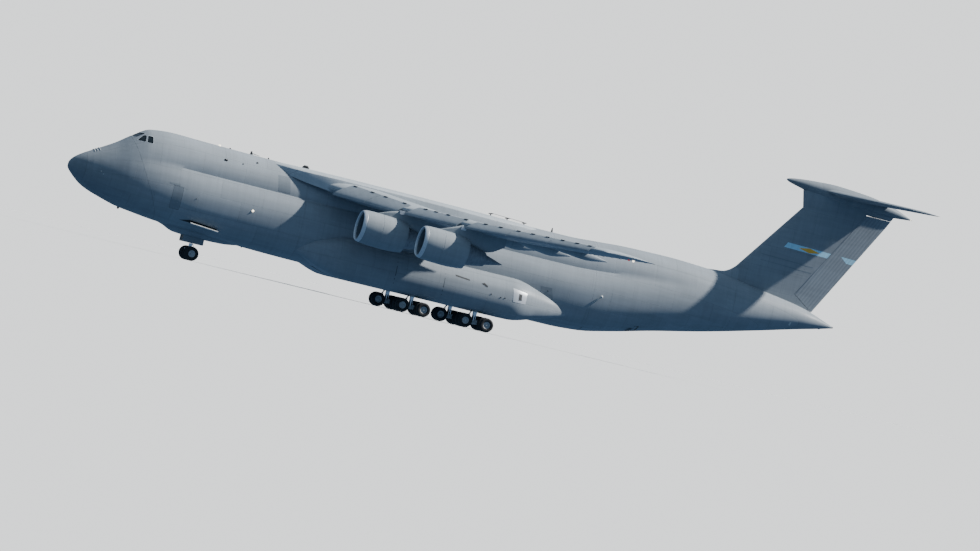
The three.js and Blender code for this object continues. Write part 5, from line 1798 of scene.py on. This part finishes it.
@dataclass
class Gear:
    """Gear pods, main and nose gear with their wheels and doors."""

    finishes: Finishes
    radius: float = 0.6225
    width: float = 0.432
    rim: float = 0.29
    groove: float = 0.012
    bolts: int = 9
    bolt_circle: float = 0.16
    pod_s: Pair = (20.0, 47.6)
    pod_home: Pair = (2.5, 3.4)
    leg_y: float = 4.175
    legs: tuple = (("front", 31.4), ("rear", 37.2))
    tandem: float = 0.825
    rear_pair_y: float = 1.105
    main_spacing: float = 0.86
    nose_s: float = 12.2
    nose_pair_y: float = 0.78
    nose_spacing: float = 0.62
    well_top: float = 3.3

    def build(self) -> None:
        """Makes pods, legs and wheels on both sides."""
        for hand, side in HANDS:
            self.pod(hand, side)
            for name, s in self.legs:
                self.main_leg(name, s, hand, side)
        self.pod_details()
        self.nose_gear()
        self.nose_bay()

    def pod(self, hand: str, side: int) -> None:
        """A gear pod: a closed smooth curve through its corners, drawn in to its home point at its ends.

        Args:
            hand: port or starboard.
            side: 1 to port, -1 to starboard.
        """
        made = self.finishes
        s = spread(*self.pod_s, 64)
        y, z = np.moveaxis(self.pod_grid(s), -1, 0)
        pod = Solid(Shape.skin(place(s[:, None], np.maximum(y, 0.01), z)).on(side))
        for _, at in self.legs:
            across = (self.leg_y - 0.45, self.leg_y + 0.45)
            pod.cut(box((at - 0.5, at + 0.5), across, (0, self.well_top), 1).on(side))
        make(f"gear_pod_skin_{hand}", pod, [made.side, made.primer], replaces=[f"gear_pod_{hand}"])

    def pod_grid(self, s: Array) -> Array:
        """The port pod's outlines at some stations: (y, z) points from its low inner corner round.

        Args:
            s: the stations.

        Returns:
            Stations by points by 2.
        """
        corners = np.array([
            (0.0, 1.6), (2.2, 1.5), (4.2, 1.52), (5.0, 1.95), (5.25, 2.9), (5.1, 3.9), (4.55, 4.7),
            (3.6, 5.15), (2.5, 5.15), (0.0, 3.4),
        ])
        sizes = np.array([
            # s, size
            (20.0, 0.08), (20.8, 0.27), (22.8, 0.7), (25.1, 1.0), (32.5, 1.0), (40.0, 1.0), (42.7, 0.68),
            (44.9, 0.34), (46.4, 0.14), (47.6, 0.04),
        ])
        share = smooth(sizes[:, 0], sizes[:, 1:], s)[:, :, None]
        distance = np.concatenate([[0], np.cumsum(np.linalg.norm(np.diff(corners, axis=0), axis=1))])
        outline = smooth(distance, corners, np.linspace(0, distance[-1], 56))
        return mix(np.array(self.pod_home), outline[None], share)

    def pod_side(self, s: Array, z: Array) -> Array:
        """How far to port the pod's skin lies at some stations and heights.

        Args:
            s: stations.
            z: heights.

        Returns:
            Metres to port, as a flat array.
        """
        found = []
        for outline, at in zip(self.pod_grid(np.ravel(s)), np.ravel(z)):
            rising = outline[outline[:, 1].argmin():outline[:, 1].argmax() + 1]
            found.append(np.interp(at, rising[:, 1], rising[:, 0]))
        return np.array(found)

    def pod_details(self) -> None:
        """Slot and intake as dark plates that paint the shade of their openings, dots, drains and the bare
        plate with its exhaust on both pods.
        """
        made = self.finishes
        plates = [
            # corners, lift, finish
            # painted shade: the slot and the intake are dark plates where their openings lie in shade
            ([(34.5, 4.27), (35.8, 4.15), (35.86, 4.03), (34.56, 4.13)], 0.008, 0),
            ([(36.95, 4.05), (37.2, 4.16), (37.54, 3.95), (37.5, 3.83)], 0.015, 0),
            ([(40.45, 3.95), (40.75, 3.92), (40.78, 3.4), (40.48, 3.36)], 0.02, 0),
            ([(39.85, 4.32), (41.25, 4.11), (41.2, 3.16), (40.0, 3.15)], 0.01, 1),
        ] + [(rectangle((s, s + 0.04), (4.85, 1.9)), 0.006, 0) for s in (29.2, 33.6)]
        parts = [plate(self.pod_side, *item) for item in plates]
        for s, z in ((37.96, 3.35), (38.86, 3.26), (39.24, 3.29)):
            parts.append(ball(s, float(self.pod_side(s, z)[0]), z, 0.055))
        make("gear_pod_details", both(total(parts)), [made.dark, made.lip])

    def collar(self, at: Sequence[float], half: float, outer: float) -> Shape:
        """A short tube round an axle."""
        return lathe(rod(half, 0.11, outer), at, True, 24, ring=True)

    @cached_property
    def wheel(self) -> Shape:
        """One wheel about its middle: a grooved tyre, and a dished rim with its hub and bolts.

        Returns:
            The wheel, about the frame's own zero place.
        """
        t = np.abs(np.linspace(-0.5, 0.5, 41))
        # The points of the profile that lie on the tread
        tread = slice(12, 29)
        side = np.linspace(-math.pi * 0.62, math.pi * 0.62, 41)
        bulge = 0.165
        across = self.width / 2 * bent(np.sin(side), 0.75)
        radial = (self.radius - bulge) + bulge * bent(np.cos(side), 0.62)
        for middle in (0.08, 0.17):
            radial[tread] -= np.where(np.abs(t[tread] - middle) < 0.02, self.groove, 0.0)
        foot = 0.36 * self.width
        tyre = np.vstack([[(-foot, self.rim)], np.stack([across, radial], axis=1), [(foot, self.rim)]])
        dish = [(0.4, 0.005), (0.4, 0.07), (0.3, 0.085), (0.24, 0.12), (0.22, 0.2), (0.34, 0.26), (0.38, 0.3),
                (0.36, 0.315)]
        disc = [(-a * self.width, r) for a, r in dish] + [(a * self.width, r) for a, r in reversed(dish)]
        parts = [lathe(tyre, (0, 0, 0), True, 44, ring=True), lathe(disc, (0, 0, 0), True, 32, finish=1)]
        for angle in circle(self.bolts):
            at = (self.bolt_circle * math.cos(angle), 0, self.bolt_circle * math.sin(angle))
            parts.append(lathe(rod(0.12, 0.001, 0.02), at, True, 6, finish=2))
        return total(parts)

    def wheels(self, name: str, at: Sequence[float], spacing: float, stub: float = 0.0) -> None:
        """Makes a pair of wheels that turns on its own body.

        Args:
            name: the name of its body and node.
            at: the middle of its axle, as a place (s, y, z).
            spacing: how far apart the wheels are.
            stub: how far to port the axle reaches on, or to starboard if negative; 0 for not at all.
        """
        made = self.finishes
        low, high = min(-spacing / 2, stub), max(spacing / 2, stub)
        core, skin = 0.005, 0.095
        axle = lathe([(low, core), (low, skin), (high, skin), (high, core)], (0, 0, 0), True, 20, finish=2)
        wheels = [self.wheel.moved(0, y, 0) for y in (-spacing / 2, spacing / 2)]
        pair = total([*wheels, axle]).moved(*at)
        make(f"{name}_tyres", pair, [made.rubber, made.rim, made.gear], name, [name], slot="tyre", crease=35)

    def main_leg(self, name: str, s: float, hand: str, side: int) -> None:
        """A leg with its six-wheel bogie: strut, piston, beam, cross tube, links, brakes and pipes.

        Args:
            name: front or rear.
            s: its station.
            hand: port or starboard.
            side: 1 to port, -1 to starboard.
        """
        made = self.finishes
        y, z = side * self.leg_y, self.radius
        front, rear = s - self.tandem, s + self.tandem
        beam = [(front - 0.15, z - 0.12), (front - 0.15, z + 0.12), (s - 0.35, z + 0.2), (s + 0.35, z + 0.2),
                (rear + 0.15, z + 0.12), (rear + 0.15, z - 0.12), (s, z - 0.2)]
        strut = [(1.5, 0.25), (1.56, 0.29), (1.6, 0.27), (2.2, 0.27), (2.25, 0.29),
                 (self.well_top + 0.02, 0.29)]
        hose = [(s - 0.2, 3.1), (s - 0.3, 2.0), (s - 0.42, 1.3), (s - 0.3, 0.84), (front + 0.1, 0.8)]
        brake = [(0.0, 0.1), (0.0, 0.2), (0.05, 0.2), (0.05, 0.1)]
        parts = [
            prism(beam, (y - 0.13, y + 0.13)),
            self.collar((rear, y, z), 0.4, 0.17),
            self.collar((front, y, z), 0.2, 0.165),
            pipe([(s, y, up) for up, _ in strut], [radius for _, radius in strut], 28),
            pipe([(s - 0.32, y, 0.85), (s - 0.5, y, 1.25), (s - 0.24, y, 1.62)], 0.055, 10),
            pipe([(s + 0.25, y, 1.9), (s + 0.42, y, 2.6), (s + 0.45, y, 3.25)], 0.08, 12),
        ]
        parts += [lathe([(start + along, r) for along, r in brake], (front, y, z), True, 24, ring=True)
                  for start in (-0.25, 0.2)]
        parts.append(pipe([(s, y, z + 0.1), (s, y, 1.55)], 0.19, 28, finish=1))
        parts += [pipe([(aft, y + off, up) for aft, up in hose], 0.022, 8, finish=2) for off in (-0.1, 0.1)]
        make(f"main_leg_frame_{name}_{hand}", total(parts), [made.gear, made.chrome, made.hose],
             replaces=[f"main_leg_{name}_{hand}"], slot="gear_paint", crease=35)
        self.wheels(f"wheels_{name}_leg_front_{hand}", (front, y, z), self.main_spacing)
        for end, way in (("inner", -side), ("outer", side)):
            at, stub = (rear, y + way * self.rear_pair_y, z), -way * (self.rear_pair_y - 0.1)
            self.wheels(f"wheels_{name}_leg_rear_{end}_{hand}", at, self.main_spacing, stub)

    def nose_gear(self) -> None:
        """The nose leg with its lamps, and its steered piston with the wheels."""
        made = self.finishes
        s, z = self.nose_s, self.radius
        lamp = [(-0.03, 0.01), (-0.03, 0.075), (0.0, 0.085), (0.1, 0.05), (0.12, 0.01)]
        leg = [pipe([(s, 0, 1.5), (s, 0, 1.56), (s, 0, 1.6), (s, 0, 2.88)], [0.22, 0.25, 0.22, 0.22], 28),
               pipe([(s, 0, 1.8), (s + 0.8, 0, 2.8)], 0.09, 14),
               pipe([(s - 0.12, -0.24, 1.75), (s - 0.12, 0.24, 1.75)], 0.06, 12)]
        leg += [lathe(lamp, (s - 0.28, y, 1.75), sides=20, finish=1) for y in (-0.24, 0.24)]
        make("nose_leg_frame", total(leg), [made.gear, made.lamp], replaces=["nose_gear_leg"],
             slot="gear_paint")
        piston = [pipe([(s, 0, z), (s, 0, 1.49)], 0.155, 28, finish=1),
                  self.collar((s, 0, z), 0.2, 0.18),
                  pipe([(s + 0.15, 0, 0.75), (s + 0.42, 0, 1.05), (s + 0.18, 0, 1.44)], 0.05, 10),
                  prism(rounded((s - 0.45, s - 0.05), (0.86, 1.02), 0.03), (-0.09, 0.09))]
        make("nose_piston_frame", total(piston), [made.gear, made.chrome], "nose_gear_piston",
             ["nose_gear_piston"], slot="gear_paint")
        for hand, side in HANDS:
            at = (s, side * self.nose_pair_y, z)
            self.wheels(f"nose_wheels_{hand}", at, self.nose_spacing, side * (0.02 - self.nose_pair_y))

    def nose_bay(self) -> None:
        """The blister round the nose gear's bay: rounded sections that hang from the hull, and its doors."""
        made = self.finishes
        rows = np.array([
            # s, half, low
            (8.7, 0.2, 2.66), (9.3, 0.5, 2.5), (10.4, 1.1, 2.1), (12.5, 1.2, 1.99), (14.6, 1.15, 2.03),
            (16.6, 0.5, 2.3), (17.4, 0.15, 2.42),
        ])
        s = spread(8.7, 17.4, 40)
        half, low = columns(rows[:, 0], rows[:, 1:], s)
        angle = np.linspace(-math.pi, 0, 27)[None]
        up = 2.9 + (2.9 - low) * bent(np.sin(angle), 0.6)
        blister = Solid(Shape.skin(place(s[:, None], half * bent(np.cos(angle), 0.6), up)))
        blister.cut(box(NOSE_BAY_S, NOSE_BAY_Y, (1.0, NOSE_BAY_TOP), 1))
        make("nose_gear_blister", blister, [made.side, made.primer], replaces=["nose_gear_fairing"])
        door = prism(rounded((11.25, 13.15), (1.5, 2.08), 0.08), (0.56, 0.6))
        make("nose_gear_doors", both(door), [made.side], bevel=0.006)


@dataclass
class Fittings:
    """Aerials, probes, lamps, patches and small doors on the fuselage, and the hold's floor and ramp."""

    finishes: Finishes
    hull: Hull
    ramp_front: float = 8.7
    floor_half: float = 2.48
    planks: int = 14

    def build(self) -> None:
        """Makes the fittings."""
        made = self.finishes
        make("cargo_floor_planks", self.floor(), [made.deck], replaces=["cargo_floor"], slot="deck")
        ramp = "forward_ramp"
        metals = [made.deck, made.aluminium]
        make("forward_ramp_panels", self.ramp(), metals, ramp, [ramp], "deck", bevel=0.006)
        make("aerials", self.aerials(), [made.dark])
        make("nose_strips", self.strips(), [made.gear], "visor")
        make("aerial_fairing", pipe([(15.62, 0, 10.28), (16.3, 0, 10.2)], [0.05, 0.025]), [made.gear])
        make("crown_lamp", ball(12.64, 0, 10.25, 0.11), [made.lamp], slot="glass")
        make("side_details", self.details(), [made.dark, made.gear, made.patch])
        make("nose_dots", self.at(2.51, 5.68, 0.045) + self.at(2.75, 5.48, 0.045), [made.gear], "visor")
        make("side_lamps", self.at(15.99, 5.44, 0.11), [made.lamp], slot="glass")

    def aerials(self) -> Shape:
        """Blade aerials, bumps, and a wire on three posts, along the middle line and near it.

        Returns:
            All of them as one shape.
        """
        fins = [(5.05, 3.2, -0.32, 0.25), (15.4, 10.1, 0.36, 0.22), (43.3, 9.85, 0.4, 0.14)]
        parts = [prism([(s, z), (s + 0.3 * wide, z + tall), (s + 0.8 * wide, z + tall), (s + 1.3 * wide, z)],
                       (-0.025, 0.025)) for s, z, tall, wide in fins]
        bumps = [
            # s, y, z, radius
            (13.61, 0, 10.22, 0.08), (10.5, 0.48, 10.2, 0.07), (12.94, 2.14, 9.15, 0.12),
            (13.05, 2.15, 9.15, 0.11), (14.54, 2.13, 9.18, 0.06), (15.84, 1.73, 9.56, 0.09),
            (17.12, 0, 10.19, 0.07), (16.63, 0, 2.22, 0.08), (69.26, 0, 7.25, 0.09),
        ]
        parts += [ball(*bump) for bump in bumps]
        parts.append(pipe([(20.25, 0, 10.12), (20.4, 0, 10.26), (20.66, 0, 10.26), (20.82, 0, 10.14)],
                          [0.08, 0.13, 0.13, 0.08]))
        parts.append(pipe([(70.3, 0, 7.6), (70.5, 0, 7.61)], [0.11, 0.06]))
        for s, z in ((37.65, 9.98), (39.19, 9.92), (40.78, 9.87)):
            parts.append(pipe([(s, 0, z - 0.15), (s, 0, z + 0.2)], [0.09, 0.04]))
            parts.append(pipe([(s - 0.2, 0, z + 0.16), (s + 0.2, 0, z + 0.22)], 0.045))
        parts.append(pipe([(37.65, 0, 10.22), (40.78, 0, 10.11)], 0.018, 8))
        return total(parts)

    def strips(self) -> Shape:
        """Three raised strips on each side of the nose, that lie on its skin.

        Returns:
            All of them as one shape.
        """
        parts = []
        for s, low, high in ((1.92, 7.2, 7.42), (2.12, 7.3, 7.53), (2.32, 7.4, 7.66)):
            z = np.linspace(low, high, 7)
            path = np.stack([s + 0 * z, self.hull.side(s + 0 * z, z) + 0.01, z + 0.01], axis=1)
            parts.append(both(pipe(path, 0.028, 8)))
        return total(parts)

    def at(self, s: float, z: float, radius: float) -> Shape:
        """A small round body half sunk into both sides of the fuselage."""
        return both(ball(s, float(self.hull.side(s, z)[0]) - 0.3 * radius, z, radius))

    def details(self) -> Shape:
        """A dark plate painted as the shadow in the recess above the open flap under the nose, dark dots, the
        open flap, a probe, a small plate and the patches.

        Returns:
            All of them as one shape, on both sides.
        """
        plates = [
            # corners, lift, finish
            # painted shadow: a dark plate over the recess above the open flap, which lies in shade
            ([(10.0, 3.22), (10.9, 3.42), (13.45, 3.17), (13.4, 3.05)], 0.008, 0),
            ([(66.12, 7.2), (66.3, 7.18), (66.28, 6.88), (66.1, 6.9)], 0.012, 1),
            ([(17.76, 8.99), (18.85, 9.06), (19.07, 7.63), (17.99, 7.64)], 0.006, 2),
            ([(8.35, 6.19), (9.28, 6.22), (9.3, 6.06), (8.37, 6.05)], 0.006, 2),
            ([(42.58, 5.06), (43.59, 5.12), (43.95, 4.12), (42.86, 4.05)], 0.006, 2),
        ]
        y, thick = np.array([2.6, 3.38, 3.38, 2.6]), np.array([0.02, 0.02, -0.02, -0.02])
        parts = [plate(self.hull.side, *item) for item in plates]
        parts += [
            loft([place(s, y, z + thick) for s, z in ((10.95, 3.14), (13.45, 2.95))], 2),
            pipe([(10.92, 3.42, 3.16), (13.47, 3.42, 2.97)], 0.065, 12, 1),
            pipe([(47.3, 3.48, 4.55), (48.09, 3.68, 5.33)], 0.035, 8, 1),
            ball(48.12, 3.7, 5.38, 0.13, 1),
        ]
        dots = [self.at(*dot) for dot in ((43.3, 4.78, 0.06), (43.19, 4.09, 0.07), (10.9, 5.3, 0.05))]
        return total([both(total(parts)), *dots])

    def floor(self) -> Shape:
        """Cargo floor of long planks, whose front ends follow the narrowing hull.

        Returns:
            The planks.
        """
        planks = []
        edges = np.linspace(-self.floor_half, self.floor_half, self.planks + 1)
        for low, high in zip(edges[:-1], edges[1:]):
            front = float(np.interp(max(abs(low), abs(high)), [1.86, self.floor_half], [8.66, 13.0]))
            planks.append(box((front, 47.3), (low + 0.006, high - 0.006), (3.001, 3.15)))
        return total(planks)

    def ramp(self) -> Shape:
        """Forward ramp: a frame with raised treads and edge beams.

        Returns:
            The ramp, folded up at rest.
        """
        front = self.ramp_front
        tread = (front - 0.02, front + 0.03)
        parts = [box((front + 0.02, front + 0.19), (-1.85, 1.85), (3.17, 6.9))]
        parts += [box(tread, (-1.75, 1.75), (z, z + 0.3)) for z in np.arange(3.4, 6.8, 0.42)]
        parts += [box((front, front + 0.23), (y, y + 0.12), (3.2, 6.88), 1) for y in (-1.83, 1.71)]
        return total(parts)


@dataclass
class Studio:
    """Floor, lights and camera."""

    floor_colour: str = "cfd0cf"
    high_colour: str = "a8c4e4"
    low_colour: str = "7aa2d0"
    high_strength: float = 0.62
    low_strength: float = 0.5
    sun_strength: float = 9.0
    sun_direction: Triple = (0.69, -0.105, -0.714)
    sun_spread: float = 1.6
    sun_colour: Triple = (1.0, 0.97, 0.93)
    floor_faces: float = 0.91
    floor_reach: float = 3000.0
    azimuth: float = 164.567
    roll: float = 13.644
    lens: float = 295.33
    distance: float = 350.0
    eye_height: float = 0.4
    aim: Triple = (-0.6195, 0.0, 2.4566)

    def build(self) -> None:
        """Sets the stage up."""
        self.lights()
        self.floor()
        self.camera()

    def lights(self) -> None:
        """A key light from above, behind and to port, and a sky that dims downwards.

        What the camera sees past the floor has the tone that the floor has in this light: its albedo times
        the key light that falls on it and the share of the sky that it faces.
        """
        scene = bpy.context.scene
        sun = bpy.data.lights.new("key", "SUN")
        sun.energy = self.sun_strength
        sun.angle = math.radians(self.sun_spread)
        sun.color = self.sun_colour
        lamp = bpy.data.objects.new("key", sun)
        lamp.rotation_mode = "QUATERNION"
        lamp.rotation_quaternion = Vector(self.sun_direction).to_track_quat("-Z", "Y")
        scene.collection.objects.link(lamp)
        world = scene.world or bpy.data.worlds.new("sky")
        scene.world = world
        nodes = Nodes(world)
        nodes.tree.nodes.clear()
        albedo, high, low = (
            np.array(linear(colour)[:3]) for colour in (self.floor_colour, self.high_colour, self.low_colour))
        high, low = high * self.high_strength, low * self.low_strength
        down = abs(Vector(self.sun_direction).normalized().z)
        direct = np.array(sun.color) * self.sun_strength * down / math.pi
        seen = albedo * (direct + mix(low, high, self.floor_faces))
        way = nodes.add("SeparateXYZ", {0: nodes.add("TexCoord").outputs["Generated"]}).outputs[2]
        sky = nodes.blend(nodes.ranged(way, (-0.2, 0.6)), (*low, 1.0), (*high, 1.0))
        light = nodes.add("Background", {0: sky, 1: 1.0}).outputs[0]
        backdrop = nodes.add("Background", {0: (*seen, 1.0), 1: 1.0}).outputs[0]
        ray = nodes.add("LightPath").outputs["Is Camera Ray"]
        nodes.add("OutputWorld", {0: nodes.add("MixShader", {0: ray, 1: light, 2: backdrop}).outputs[0]})

    def floor(self) -> None:
        """A pale matt floor, far wider than the view."""
        edge = np.array([[-self.floor_reach, self.floor_reach]])
        mesh = Shape.skin(place(edge.T, edge, 0.0), wrap=False, caps=False).mesh("floor")
        floor = bpy.data.objects.new("floor", mesh)
        bpy.context.scene.collection.objects.link(floor)
        material = bpy.data.materials.new("matt_studio_floor")
        nodes = Nodes(material)
        nodes.fill(nodes.tree.nodes["Principled BSDF"], {
            "Base Color": linear(self.floor_colour), "Roughness": 1.0, "Specular IOR Level": 0.0,
        })
        mesh.materials.append(material)
        floor.visible_diffuse = False
        floor.visible_glossy = False

    def camera(self) -> None:
        """A long lens at floor level, ahead of abeam to port, rolled so that the plane seems to climb."""
        data = bpy.data.cameras.new("camera")
        data.lens = self.lens
        data.sensor_width = 36.0
        data.clip_start, data.clip_end = 1.0, 4000.0
        obj = bpy.data.objects.new("camera", data)
        angle = math.radians(self.azimuth)
        spot = Vector((math.sin(angle) * self.distance, -math.cos(angle) * self.distance, self.eye_height))
        ahead = (Vector(self.aim) - spot).normalized()
        right = ahead.cross(Vector((0, 0, 1))).normalized()
        up = right.cross(ahead)
        turn = math.radians(self.roll)
        right, up = right * math.cos(turn) + up * math.sin(turn), up * math.cos(turn) - right * math.sin(turn)
        obj.matrix_world = Matrix.Translation(spot) @ Matrix((right, up, -ahead)).transposed().to_4x4()
        bpy.context.scene.collection.objects.link(obj)
        bpy.context.scene.camera = obj


def main() -> None:
    """Builds the aircraft's sub-assemblies in order, then the studio."""
    logging.basicConfig(level=logging.INFO, format="%(message)s")
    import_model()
    finishes = Finishes()
    hull, wings = Hull(finishes), Wings(finishes)
    inner = Engine(finishes, wings, "inner", y=12.2, lip=23.2, height=6.36)
    outer = Engine(finishes, wings, "outer", y=18.9, lip=26.96, height=6.23)
    trim = Fittings(finishes, hull)
    for part in (hull, wings, inner, outer, Tail(finishes), Gear(finishes), trim, Studio()):
        part.build()


if __name__ == "__main__":
    main()
